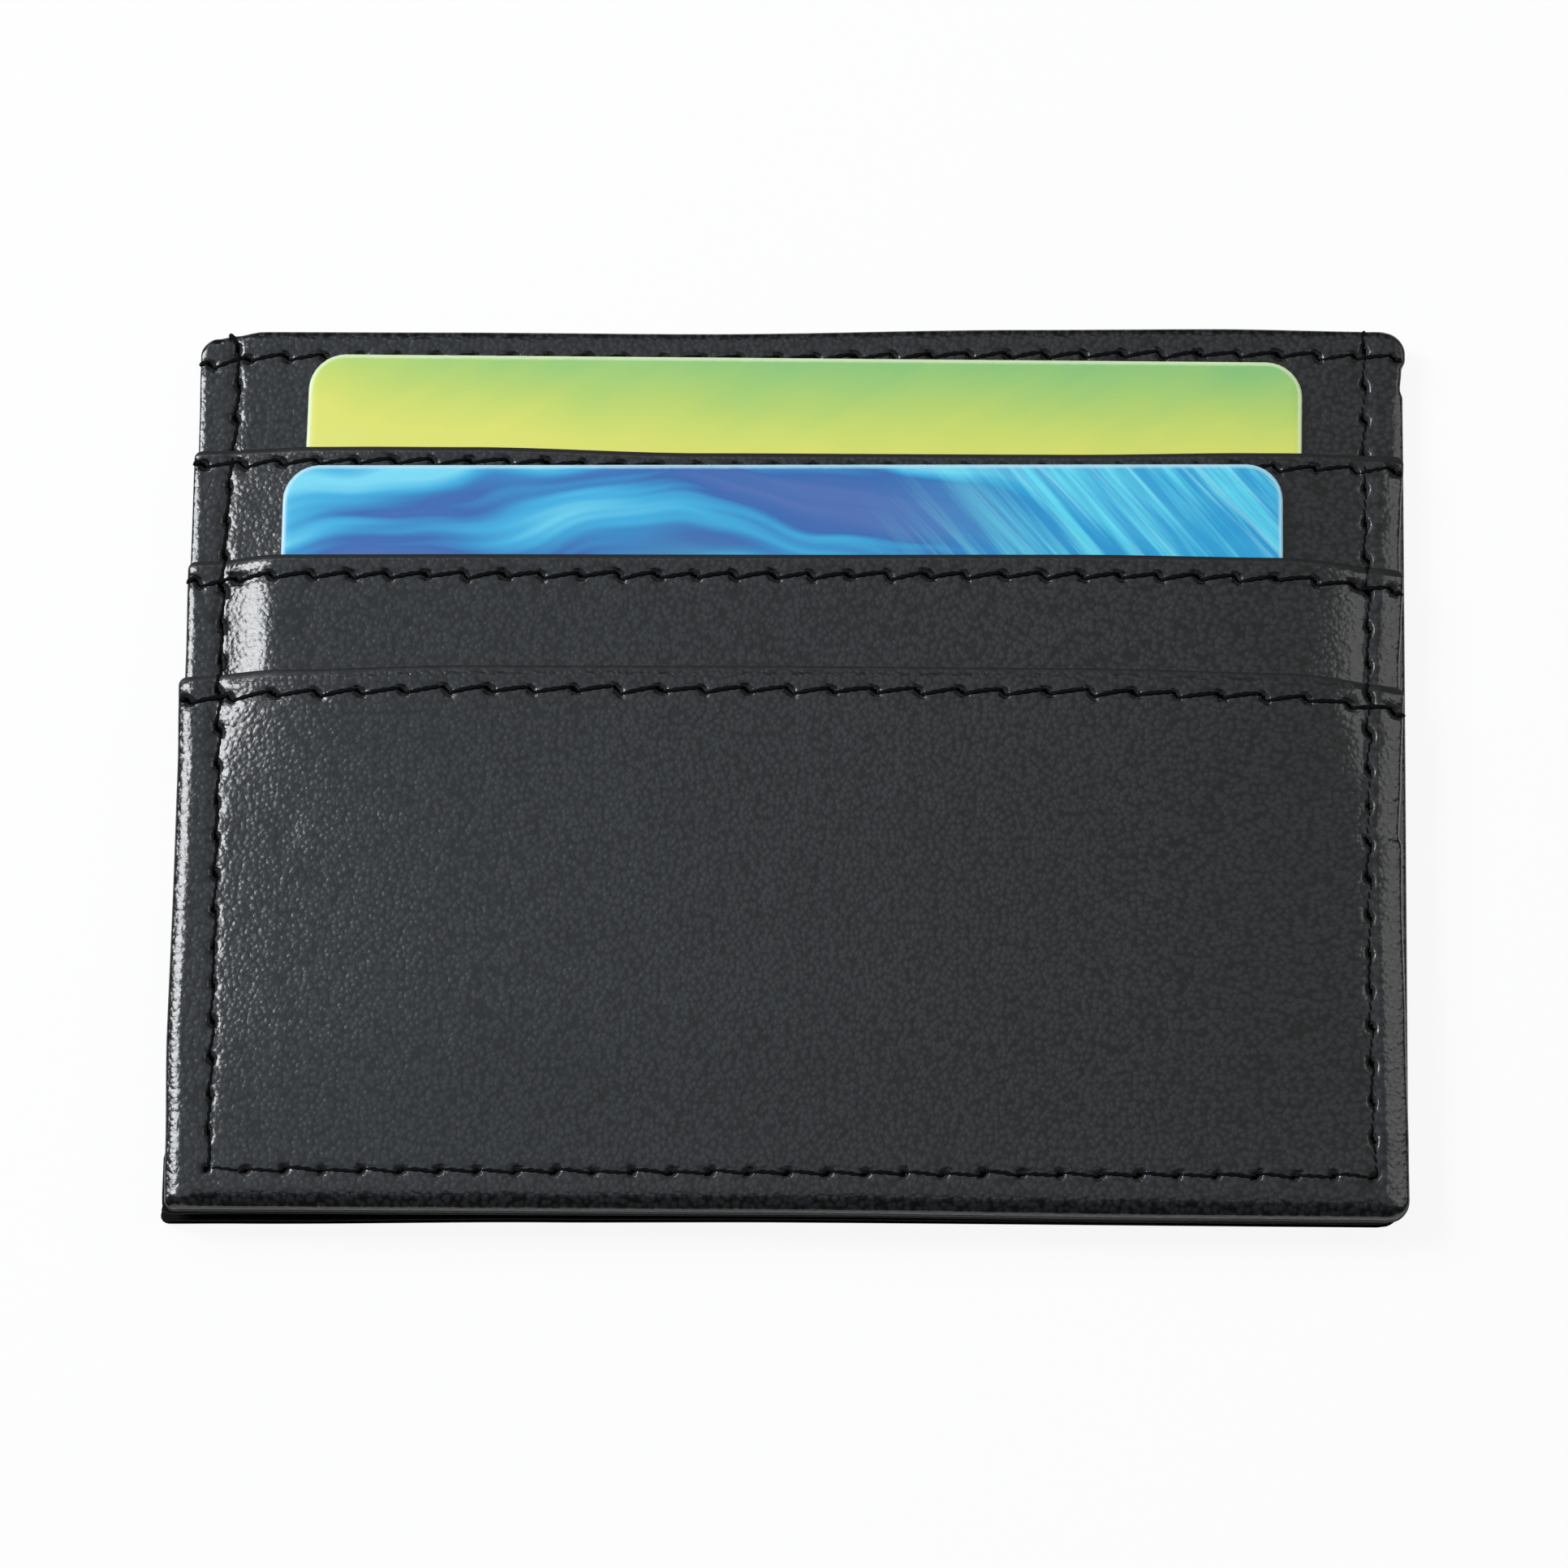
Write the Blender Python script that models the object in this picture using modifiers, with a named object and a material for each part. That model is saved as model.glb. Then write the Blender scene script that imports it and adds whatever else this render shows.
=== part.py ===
"""A slim leather card holder with RFID shielding, lying on its back.

X runs along its mouth, Y points out of the mouth and Z out of its front face.
Lengths are in metres. The origin is under the middle of the holder.
It is a stack of flat sheets: a back half and a front half with an open pocket
between them, one slip pocket on the back and three stepped pockets in front.
"""

import math

import bmesh
import bpy

# Corners and edges of the sheets
SHEET_STEP = 0.0001  # each sheet shows this much past the one behind it
TOP_CORNER = 0.0024
BOTTOM_CORNER = 0.0018
POCKET_CORNER = 0.0006

# Strips that show above each front pocket, from the top down
TOP_STRIP = 0.01135
POCKET_1_STRIP = 0.00975
POCKET_2_STRIP = 0.01015
BACK_STRIP = 0.006
POCKET_LEATHER_HEIGHT = 0.017  # the leather of a pocket goes on as lining below this

# Thickness of the plies
LEATHER = 0.0005
LINING = 0.00015
FOIL = 0.00008
EMPTY_SLOT = 0.0002
PLY_GAP = 0.00005
EDGE_ROUND = 0.00012
LINING_INSET = 0.0006
SHIELD_INSET = 0.0045
LAP_GAP = 0.0001

# Margins that are turned in under each sheet and close its pocket
HEM_WIDTH = 0.005
HEM_INSET = 0.0004  # how far a hem lies inside its sheet's edge
HEM_GAP = 0.00005  # between a side hem and the bar across the foot
FLOOR_HEIGHT = 0.004
FOLD_ROUND = 0.0006

# Cards of the usual bank card size
CARD_WIDTH = 0.0856
CARD_HEIGHT = 0.05398
CARD_THICKNESS = 0.00076
CARD_CORNER = 0.00318
CARD_EDGE_ROUND = 0.00008
CARD_CLEARANCE = 0.00012  # above and below a card in its slot
CARD_SIDE_PLAY = 0.00355  # beside a card that lies in the middle
FLOOR_CLEARANCE = 0.0003
FLOOR_TO_FOLD = 0.00172  # from the foot of the lower card slot to the fold at the foot
GREEN_CARD_SHOWS = 0.0086
GREEN_CARD_SHIFT = 0.00035
GREEN_CARD_TURN = math.radians(-0.5)
BLUE_CARD_SHOWS = 0.0082
BLUE_CARD_SHIFT = -0.0011
BLUE_CARD_TURN = math.radians(0.13)

# Stitching
THREAD_RADIUS = 0.00015
THREAD_PROUD = 0.00008  # what stands out of the leather in front, less than the cards clear
THREAD_SUNK = 0.00002  # how far the thread on the back lies below the leather
THREAD_DIP = 0.0001  # from a stitch's crest down to its holes
THREAD_SLANT = 0.00015  # sideways lean of each stitch
THREAD_CLEARANCE = 0.00004
SIDE_SEAM_MARGIN = 0.003
BOTTOM_SEAM_MARGIN = 0.0029
SEAM_END = 0.0009
SEAM_PITCH = 0.0032
ROW_PITCH = 0.00325
FRONT_ROW_PITCH = 0.0036
ROW_END = 0.0009
TOP_ROW_BELOW_EDGE = 0.0022
POCKET_1_ROW_BELOW_EDGE = 0.0014
POCKET_2_ROW_BELOW_EDGE = 0.0022
FRONT_ROW_BELOW_EDGE = 0.0025
BACK_ROW_BELOW_EDGE = 0.0015
STEP_LEAD = 0.0008
STEP_CLEARANCE = 0.0001
CUT_OVERRUN = 0.001

# Shares of one stitch at which the thread has risen and starts to fall
RISE_SHARE = 0.28
FALL_SHARE = 0.74

# Counts
CORNER_STEPS = 5
SMALL_CORNER_STEPS = 2
ROUND_SEGMENTS = 2
THREAD_RESOLUTION = 1
BACK_THREAD_RESOLUTION = 0

# Colour, roughness and metallic value of each finish
LEATHER_LOOK = ((0.033, 0.037, 0.041, 1.0), 0.45, 0.0)
LINING_LOOK = ((0.02, 0.02, 0.022, 1.0), 0.9, 0.0)
FOIL_LOOK = ((0.72, 0.73, 0.75, 1.0), 0.3, 1.0)
THREAD_LOOK = ((0.008, 0.008, 0.009, 1.0), 0.6, 0.0)
GREEN_LOOK = ((0.45, 0.7, 0.18, 1.0), 0.25, 0.0)
BLUE_LOOK = ((0.05, 0.34, 0.68, 1.0), 0.25, 0.0)

# The holder is as large as its cards, strips and margins need
HOLDER_WIDTH = CARD_WIDTH + 2 * (CARD_SIDE_PLAY + HEM_WIDTH + HEM_INSET)
FOOT_HEIGHT = SHEET_STEP + HEM_WIDTH + FLOOR_TO_FOLD + FLOOR_HEIGHT + FLOOR_CLEARANCE
CARD_IN_POCKET = CARD_HEIGHT - BLUE_CARD_SHOWS
HOLDER_HEIGHT = FOOT_HEIGHT + CARD_IN_POCKET + POCKET_1_STRIP + TOP_STRIP

# Places that follow from the sizes above
TOP = HOLDER_HEIGHT / 2
BOTTOM = -HOLDER_HEIGHT / 2
POCKET_1_TOP = TOP - TOP_STRIP
POCKET_2_TOP = POCKET_1_TOP - POCKET_1_STRIP
FRONT_TOP = POCKET_2_TOP - POCKET_2_STRIP
BACK_POCKET_TOP = TOP - BACK_STRIP
HALF_WIDTH = HOLDER_WIDTH / 2
SEAM_X = HALF_WIDTH - SIDE_SEAM_MARGIN
SEAM_BOTTOM = BOTTOM + BOTTOM_SEAM_MARGIN
FILLED_SLOT = CARD_THICKNESS + 2 * (CARD_CLEARANCE - PLY_GAP)
GROOVE_HALF = THREAD_RADIUS + THREAD_SLANT + THREAD_CLEARANCE

# The stack from the back up: each ply's name and thickness
PLIES = (
    ("back_pocket", LEATHER),
    ("back_slot", EMPTY_SLOT),
    ("back_panel", LEATHER),
    ("back_shield", FOIL),
    ("back_lining", LINING),
    ("centre_slot", EMPTY_SLOT),
    ("front_lining", LINING),
    ("front_shield", FOIL),
    ("base_panel", LEATHER),
    ("slot_1", FILLED_SLOT),
    ("pocket_1", LEATHER),
    ("slot_2", FILLED_SLOT),
    ("pocket_2", LEATHER),
    ("slot_3", EMPTY_SLOT),
    ("front_panel", LEATHER),
)


def ply_levels():
    """The lower and upper height of each ply."""
    levels = {}
    height = 0.0
    for name, thickness in PLIES:
        levels[name] = (height, height + thickness)
        height += thickness + PLY_GAP
    return levels


LEVELS = ply_levels()


def clear_scene():
    for old in list(bpy.data.objects):
        bpy.data.objects.remove(old, do_unlink=True)


def new_collection(name):
    made = bpy.data.collections.new(name)
    bpy.context.scene.collection.children.link(made)
    return made


clear_scene()
PARTS = new_collection("rfid_card_holder")
CUTTERS = new_collection("cutters")


def give_material(piece, look):
    """Gives the piece a material of its own."""
    colour, roughness, metallic = look
    material = bpy.data.materials.new(piece.name)
    material.use_nodes = True
    shader = material.node_tree.nodes["Principled BSDF"]
    shader.inputs["Base Color"].default_value = colour
    shader.inputs["Roughness"].default_value = roughness
    shader.inputs["Metallic"].default_value = metallic
    material.diffuse_color = colour
    piece.data.materials.append(material)


def arc(centre_x, centre_y, radius, start, steps):
    """Points on a quarter circle that turns left from the angle start."""
    angles = [start + math.pi / 2 * step / steps for step in range(steps + 1)]
    return [
        (centre_x + radius * math.cos(angle), centre_y + radius * math.sin(angle))
        for angle in angles
    ]


def outline(half_width, bottom, top, bottom_corner, top_corner):
    """A rectangle with rounded corners, anticlockwise from its lower right."""
    steps = {
        corner: CORNER_STEPS if corner > POCKET_CORNER else SMALL_CORNER_STEPS
        for corner in (bottom_corner, top_corner)
    }
    low_x = half_width - bottom_corner
    high_x = half_width - top_corner
    low_y = bottom + bottom_corner
    high_y = top - top_corner
    return (
        arc(low_x, low_y, bottom_corner, -math.pi / 2, steps[bottom_corner])
        + arc(high_x, high_y, top_corner, 0.0, steps[top_corner])
        + arc(-high_x, high_y, top_corner, math.pi / 2, steps[top_corner])
        + arc(-low_x, low_y, bottom_corner, math.pi, steps[bottom_corner])
    )


def bar_outline(left, right, bottom, top):
    return [(right, bottom), (right, top), (left, top), (left, bottom)]


def meshed(guide):
    """A mesh in place of a filled curve, with its caps welded and its faces whole."""
    name = guide.name
    bpy.context.view_layer.update()
    evaluated = guide.evaluated_get(bpy.context.evaluated_depsgraph_get())
    mesh = bpy.data.meshes.new_from_object(evaluated)
    place = guide.matrix_world.copy()
    bpy.data.objects.remove(guide, do_unlink=True)
    cage = bmesh.new()
    cage.from_mesh(mesh)
    bmesh.ops.remove_doubles(cage, verts=cage.verts, dist=PLY_GAP / 10)
    bmesh.ops.dissolve_limit(
        cage, angle_limit=math.radians(1), verts=cage.verts, edges=cage.edges
    )
    bmesh.ops.recalc_face_normals(cage, faces=cage.faces)
    cage.to_mesh(mesh)
    cage.free()
    mesh.name = name
    piece = bpy.data.objects.new(name, mesh)
    piece.matrix_world = place
    PARTS.objects.link(piece)
    return piece


def flat_piece(name, points, level, look, rounding=0.0):
    """A flat outline that fills a level, with its edges rounded."""
    low, high = level
    curve = bpy.data.curves.new(name, "CURVE")
    curve.dimensions = "2D"
    curve.fill_mode = "BOTH"
    curve.extrude = (high - low) / 2
    spline = curve.splines.new("POLY")
    spline.points.add(len(points) - 1)
    for corner, (x, y) in zip(spline.points, points):
        corner.co = (x, y, 0, 1)
    spline.use_cyclic_u = True
    guide = bpy.data.objects.new(name, curve)
    guide.location.z = (low + high) / 2
    PARTS.objects.link(guide)
    piece = meshed(guide)
    if rounding:
        bevel = piece.modifiers.new("rounded_edges", "BEVEL")
        bevel.width = rounding
        bevel.segments = ROUND_SEGMENTS
        bevel.limit_method = "ANGLE"
        bevel.angle_limit = math.radians(40)
    piece.data.shade_smooth()
    piece.data.set_sharp_from_angle(angle=math.radians(35))
    give_material(piece, look)
    return piece


def proud_of(side):
    """How far the thread's crests stand out of the leather on this side of the holder."""
    return THREAD_PROUD if side > 0 else -THREAD_SUNK


def groove_depth(side):
    return 2 * THREAD_RADIUS - proud_of(side) + THREAD_DIP + THREAD_CLEARANCE


def groove(sheet, side, left, right, bottom, top):
    """Cuts a channel for thread into the top (side 1) or underside (side -1) of a sheet."""
    low, high = LEVELS[sheet.name]
    surface = high if side > 0 else low
    inner = surface - side * groove_depth(side)
    outer = surface + side * CUT_OVERRUN
    cage = bmesh.new()
    bmesh.ops.create_cube(cage, size=1.0)
    size = (right - left, top - bottom, abs(outer - inner))
    bmesh.ops.scale(cage, vec=size, verts=cage.verts)
    mesh = bpy.data.meshes.new(f"{sheet.name}_groove")
    cage.to_mesh(mesh)
    cage.free()
    cutter = bpy.data.objects.new(mesh.name, mesh)
    cutter.location = ((left + right) / 2, (bottom + top) / 2, (inner + outer) / 2)
    cutter.hide_render = True
    cutter.display_type = "WIRE"
    CUTTERS.objects.link(cutter)
    cut = sheet.modifiers.new(cutter.name, "BOOLEAN")
    cut.operation = "DIFFERENCE"
    cut.solver = "EXACT"
    cut.object = cutter


def row_groove(sheet, side, y):
    reach = HALF_WIDTH + CUT_OVERRUN
    groove(sheet, side, -reach, reach, y - GROOVE_HALF, y + GROOVE_HALF)


def foot_groove(sheet, side):
    reach = SEAM_X + GROOVE_HALF
    low, high = SEAM_BOTTOM - GROOVE_HALF, SEAM_BOTTOM + GROOVE_HALF
    groove(sheet, side, -reach, reach, low, high)


def side_grooves(sheet, side, bottom):
    for x in (-SEAM_X, SEAM_X):
        groove(sheet, side, x - GROOVE_HALF, x + GROOVE_HALF, bottom, TOP + CUT_OVERRUN)


def crest_height(surface, side):
    return surface + side * (proud_of(side) - THREAD_RADIUS)


def stitches(start, end, surface, side, pitch):
    """Points of a row of slanted stitches: a hole, then the rise and the fall of each."""
    run_x, run_y = end[0] - start[0], end[1] - start[1]
    length = math.hypot(run_x, run_y)
    count = max(1, round(length / pitch))
    across = (-run_y / length * THREAD_SLANT, run_x / length * THREAD_SLANT)
    crest = crest_height(surface, side)
    hole = crest - side * THREAD_DIP
    points = []
    for number in range(count):
        for share, lean, height in (
            (0.0, 0, hole),
            (RISE_SHARE, -1, crest),
            (FALL_SHARE, 1, crest),
        ):
            along = (number + share) / count
            x = start[0] + run_x * along + lean * across[0]
            y = start[1] + run_y * along + lean * across[1]
            points.append((x, y, height))
    points.append((end[0], end[1], hole))
    return points


def perimeter_path(surfaces, edges, side):
    """The seam down the left side, along the bottom and up the right side.

    surfaces are the heights of the leather from the mouth down, and edges are
    the pocket edges between them, which the thread climbs.
    """
    starts = [TOP - SEAM_END] + [edge - STEP_LEAD for edge in edges]
    ends = [edge + STEP_LEAD for edge in edges] + [SEAM_BOTTOM]
    left = []
    for number, surface in enumerate(surfaces):
        top_end = (-SEAM_X, starts[number])
        low_end = (-SEAM_X, ends[number])
        left += stitches(top_end, low_end, surface, side, SEAM_PITCH)
        if number < len(edges):
            y = edges[number] + THREAD_RADIUS + STEP_CLEARANCE
            left.append((-SEAM_X, y, crest_height(surface, side)))
            left.append((-SEAM_X, y, crest_height(surfaces[number + 1], side)))
    low_left = (-SEAM_X, SEAM_BOTTOM)
    low_right = (SEAM_X, SEAM_BOTTOM)
    bottom = stitches(low_left, low_right, surfaces[-1], side, SEAM_PITCH)
    right = [(-x, y, z) for x, y, z in reversed(left)]
    return left + bottom[1:-1] + right


def thread(name, points, resolution):
    """A round thread through the points."""
    curve = bpy.data.curves.new(name, "CURVE")
    curve.dimensions = "3D"
    curve.bevel_depth = THREAD_RADIUS
    curve.bevel_resolution = resolution
    curve.use_fill_caps = True
    spline = curve.splines.new("POLY")
    spline.points.add(len(points) - 1)
    for knot, (x, y, z) in zip(spline.points, points):
        knot.co = (x, y, z, 1)
    piece = bpy.data.objects.new(name, curve)
    PARTS.objects.link(piece)
    give_material(piece, THREAD_LOOK)
    return piece


def row_thread(name, y, surface, side, pitch, resolution=THREAD_RESOLUTION):
    reach = SEAM_X - ROW_END
    points = stitches((-reach, y), (reach, y), surface, side, pitch)
    return thread(name, points, resolution)


def leather_sheet(name, order, top, top_corner):
    """A sheet of leather over the full width. order counts the sheets in front of it."""
    inset = order * SHEET_STEP
    points = outline(
        HALF_WIDTH - inset, BOTTOM + inset, top, BOTTOM_CORNER, top_corner
    )
    return flat_piece(name, points, LEVELS[name], LEATHER_LOOK, EDGE_ROUND)


def pocket_strip(name, order, top):
    """The leather of a pocket: a low strip, which a lining continues downwards."""
    half = HALF_WIDTH - order * SHEET_STEP
    bottom = top - POCKET_LEATHER_HEIGHT
    points = outline(half, bottom, top, POCKET_CORNER, POCKET_CORNER)
    return flat_piece(name, points, LEVELS[name], LEATHER_LOOK, EDGE_ROUND)


def pocket_lining(pocket, top, floor):
    """The lining under a pocket's leather, down to the foot of its slot."""
    half = HALF_WIDTH - LINING_INSET
    high = top - POCKET_LEATHER_HEIGHT - LAP_GAP
    low = LEVELS[pocket][0]
    points = outline(half, floor, high, POCKET_CORNER, POCKET_CORNER)
    flat_piece(f"{pocket}_lining", points, (low, low + LINING), LINING_LOOK)


def hems(owner, slot, top, bottom):
    """The two side margins turned in under a sheet. They are the sides of its slot."""
    outer = HALF_WIDTH - HEM_INSET
    inner = outer - HEM_WIDTH
    for name, left, right in (
        ("left", -outer, -inner),
        ("right", inner, outer),
    ):
        points = bar_outline(left, right, bottom, top)
        flat_piece(f"{owner}_{name}_hem", points, LEVELS[slot], LEATHER_LOOK)
    return inner


def slot_floor(name, slot, inner, top, height, look=LEATHER_LOOK):
    """The bar that closes a slot's foot between its side hems."""
    reach = inner - HEM_GAP
    points = bar_outline(-reach, reach, top - height, top)
    flat_piece(name, points, LEVELS[slot], look)


def card_bottom(pocket_top, shows):
    return pocket_top + shows - CARD_HEIGHT


def card_floor(pocket_top, shows, turn):
    """Where a slot ends under a card that stands this far out of it."""
    dip = CARD_WIDTH / 2 * abs(math.sin(turn))
    return card_bottom(pocket_top, shows) - dip - FLOOR_CLEARANCE


def card(name, slot, bottom, shift, turn, look):
    """A card with its lower edge at the height bottom, in the middle of its slot."""
    low, high = LEVELS[slot]
    half_height = CARD_HEIGHT / 2
    points = outline(
        CARD_WIDTH / 2, -half_height, half_height, CARD_CORNER, CARD_CORNER
    )
    level = (-CARD_THICKNESS / 2, CARD_THICKNESS / 2)
    piece = flat_piece(name, points, level, look, CARD_EDGE_ROUND)
    piece.location = (shift, bottom + half_height, (low + high) / 2)
    piece.rotation_euler.z = turn


def build_back_half():
    """The slip pocket, the back panel, its shield and its lining."""
    pocket = leather_sheet("back_pocket", 1, BACK_POCKET_TOP, POCKET_CORNER)
    side_grooves(pocket, -1, SEAM_BOTTOM - GROOVE_HALF)
    pocket_row = BACK_POCKET_TOP - BACK_ROW_BELOW_EDGE
    row_groove(pocket, -1, pocket_row)
    foot_groove(pocket, -1)
    hem_foot = BOTTOM + SHEET_STEP + HEM_INSET
    fold_top = hem_foot + HEM_WIDTH
    inner = hems("back_pocket", "back_slot", BACK_POCKET_TOP - HEM_INSET, hem_foot)
    slot_floor("back_pocket_bottom_hem", "back_slot", inner, fold_top, HEM_WIDTH)

    panel = leather_sheet("back_panel", 2, TOP, TOP_CORNER)
    side_grooves(panel, -1, BACK_POCKET_TOP - FLOOR_HEIGHT)
    panel_row = TOP - TOP_ROW_BELOW_EDGE
    row_groove(panel, -1, panel_row)

    back_low = LEVELS["back_pocket"][0]
    panel_low = LEVELS["back_panel"][0]
    row_thread(
        "back_pocket_stitching", pocket_row, back_low, -1, ROW_PITCH, BACK_THREAD_RESOLUTION
    )
    row_thread(
        "back_panel_stitching", panel_row, panel_low, -1, ROW_PITCH, BACK_THREAD_RESOLUTION
    )
    path = perimeter_path((panel_low, back_low), (BACK_POCKET_TOP,), -1)
    thread("perimeter_seam_back", path, BACK_THREAD_RESOLUTION)


def build_shield_and_lining(side_name, shield_level, lining_level):
    """One half's foil shield, sewn in behind its fabric lining."""
    half = HALF_WIDTH - SHIELD_INSET
    points = outline(
        half, BOTTOM + SHIELD_INSET, TOP - SHIELD_INSET, POCKET_CORNER, POCKET_CORNER
    )
    flat_piece(f"{side_name}_rfid_shield", points, LEVELS[shield_level], FOIL_LOOK)
    points = outline(
        HALF_WIDTH - LINING_INSET,
        BOTTOM + LINING_INSET,
        TOP - LINING_INSET,
        BOTTOM_CORNER,
        TOP_CORNER,
    )
    flat_piece(f"{side_name}_lining", points, LEVELS[lining_level], LINING_LOOK)


def build_centre_pocket():
    """The pocket between the two halves, open at the top."""
    hem_foot = BOTTOM + HEM_INSET + LINING_INSET
    fold_top = hem_foot + HEM_WIDTH
    inner = hems("centre", "centre_slot", TOP - TOP_CORNER, hem_foot)
    slot_floor("centre_bottom_hem", "centre_slot", inner, fold_top, HEM_WIDTH)


def build_front_half():
    """The base panel, the stepped pockets and the front panel, with their rows."""
    base = leather_sheet("base_panel", 3, TOP, TOP_CORNER)
    side_grooves(base, 1, POCKET_1_TOP - FLOOR_HEIGHT)
    base_row = TOP - TOP_ROW_BELOW_EDGE
    row_groove(base, 1, base_row)
    row_thread("base_panel_stitching", base_row, LEVELS["base_panel"][1], 1, ROW_PITCH)

    fold_foot = BOTTOM + SHEET_STEP
    fold_top = fold_foot + HEM_WIDTH
    hem_foot = fold_top + HEM_GAP
    green = card_floor(POCKET_1_TOP, GREEN_CARD_SHOWS, GREEN_CARD_TURN)
    blue = card_floor(POCKET_2_TOP, BLUE_CARD_SHOWS, BLUE_CARD_TURN)
    for pocket, slot, order, top, below_edge, floor in (
        ("pocket_1", "slot_1", 2, POCKET_1_TOP, POCKET_1_ROW_BELOW_EDGE, green),
        ("pocket_2", "slot_2", 1, POCKET_2_TOP, POCKET_2_ROW_BELOW_EDGE, blue),
    ):
        strip = pocket_strip(pocket, order, top)
        row = top - below_edge
        side_grooves(strip, 1, top - POCKET_LEATHER_HEIGHT - CUT_OVERRUN)
        row_groove(strip, 1, row)
        row_thread(f"{pocket}_stitching", row, LEVELS[pocket][1], 1, ROW_PITCH)
        pocket_lining(pocket, top, floor - FLOOR_HEIGHT)
        inner = hems(pocket, slot, top - HEM_INSET, hem_foot)
        slot_floor(f"{pocket}_floor", slot, inner, floor, FLOOR_HEIGHT, LINING_LOOK)

    panel = leather_sheet("front_panel", 0, FRONT_TOP, POCKET_CORNER)
    panel_high = LEVELS["front_panel"][1]
    side_grooves(panel, 1, SEAM_BOTTOM - GROOVE_HALF)
    front_row = FRONT_TOP - FRONT_ROW_BELOW_EDGE
    row_groove(panel, 1, front_row)
    foot_groove(panel, 1)
    row_thread("front_panel_stitching", front_row, panel_high, 1, FRONT_ROW_PITCH)
    hems("front_panel", "slot_3", FRONT_TOP - HEM_INSET, hem_foot)

    surfaces = [
        LEVELS[name][1] for name in ("base_panel", "pocket_1", "pocket_2", "front_panel")
    ]
    path = perimeter_path(surfaces, (POCKET_1_TOP, POCKET_2_TOP, FRONT_TOP), 1)
    thread("perimeter_seam_front", path, THREAD_RESOLUTION)

    half = HALF_WIDTH - SHEET_STEP
    points = outline(half, fold_foot, fold_top, BOTTOM_CORNER, POCKET_CORNER)
    level = (LEVELS["slot_1"][0], LEVELS["slot_3"][1])
    flat_piece("front_panel_bottom_fold", points, level, LEATHER_LOOK, FOLD_ROUND)


def build_cards():
    green = card_bottom(POCKET_1_TOP, GREEN_CARD_SHOWS)
    blue = card_bottom(POCKET_2_TOP, BLUE_CARD_SHOWS)
    card("green_card", "slot_1", green, GREEN_CARD_SHIFT, GREEN_CARD_TURN, GREEN_LOOK)
    card("blue_card", "slot_2", blue, BLUE_CARD_SHIFT, BLUE_CARD_TURN, BLUE_LOOK)


build_back_half()
build_shield_and_lining("back", "back_shield", "back_lining")
build_centre_pocket()
build_shield_and_lining("front", "front_shield", "front_lining")
build_front_half()
build_cards()
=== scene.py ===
"""Looks of the slim card holder: turned leather sheets, sewn seams, linings and two cards.

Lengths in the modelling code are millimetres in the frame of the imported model.
They turn into metres where a mesh is made.
"""

import math

import bpy
import numpy as np
from mathutils import Matrix, Vector


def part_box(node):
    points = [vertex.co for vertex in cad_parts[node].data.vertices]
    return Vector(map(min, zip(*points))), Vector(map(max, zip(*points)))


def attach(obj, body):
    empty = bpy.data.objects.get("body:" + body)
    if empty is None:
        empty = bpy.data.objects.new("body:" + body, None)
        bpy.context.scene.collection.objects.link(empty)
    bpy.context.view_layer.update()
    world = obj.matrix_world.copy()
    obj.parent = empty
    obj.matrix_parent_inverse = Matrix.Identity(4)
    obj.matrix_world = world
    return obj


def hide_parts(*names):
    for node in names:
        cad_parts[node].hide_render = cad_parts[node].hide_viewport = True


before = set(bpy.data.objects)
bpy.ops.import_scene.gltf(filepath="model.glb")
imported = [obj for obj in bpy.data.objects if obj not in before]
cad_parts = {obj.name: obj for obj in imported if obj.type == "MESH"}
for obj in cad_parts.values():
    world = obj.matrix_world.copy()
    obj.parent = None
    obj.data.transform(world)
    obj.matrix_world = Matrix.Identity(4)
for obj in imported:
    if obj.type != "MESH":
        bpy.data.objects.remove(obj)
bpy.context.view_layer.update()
MM = 0.001
SCENE = bpy.context.scene

# ---- view and light


def new_object(name, data):
    made = bpy.data.objects.new(name, data)
    SCENE.collection.objects.link(made)
    return made


def place_camera():
    """The photograph's view: 74 degrees up, in front of the foot, with a long lens."""
    azimuth, elevation, roll = (math.radians(a) for a in (10.397, 74.0, -9.805))
    distance = 0.597
    target = Vector((-0.000531, -0.002012, 0.004))
    out = math.cos(elevation)
    back = Vector((math.sin(azimuth) * out, -math.cos(azimuth) * out, math.sin(elevation)))
    level = (-back).cross(Vector((0, 0, 1))).normalized()
    upright = level.cross(-back)
    right = level * math.cos(roll) + upright * math.sin(roll)
    up = upright * math.cos(roll) - level * math.sin(roll)
    place = Matrix((right, up, back)).transposed().to_4x4()
    place.translation = target + back * distance
    data = bpy.data.cameras.new("camera")
    data.lens, data.sensor_width = 161.92, 36.0
    data.clip_start, data.clip_end = 0.01, 50.0
    camera = new_object("camera", data)
    camera.matrix_world = place
    SCENE.camera = camera


# The name, place, target, size, power and colour of each lamp.
LAMPS = (
    ("overhead_left", (-0.46, 0.42, 1.05), (-0.46, 0.42, 0), (0.86, 1.3), 2.35, (0.86, 0.96, 1.06)),
    ("overhead_right", (0.36, 0.42, 1.05), (0.36, 0.42, 0), (0.78, 1.3), 1.25, (0.99, 1.0, 0.99)),
    ("overhead_back", (-0.02, 0.57, 1.05), (-0.02, 0.57, 0), (0.9, 0.4), 0.3, (0.98, 1.0, 0.98)),
    ("left", (-0.644, 0.271, 0.716), (0, 0, 0), (0.3, 0.52), 8.0, (0.96, 0.98, 1.0)),
    ("back_left", (-0.4, 0.62, 0.68), (0, 0, 0), (0.14, 0.14), 0.8, (0.98, 0.99, 1.0)),
    ("right", (0.62, 0.27, 0.62), (0, 0, 0), (0.36, 0.5), 0.95, (1.0, 1.0, 0.98)),
)


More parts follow.
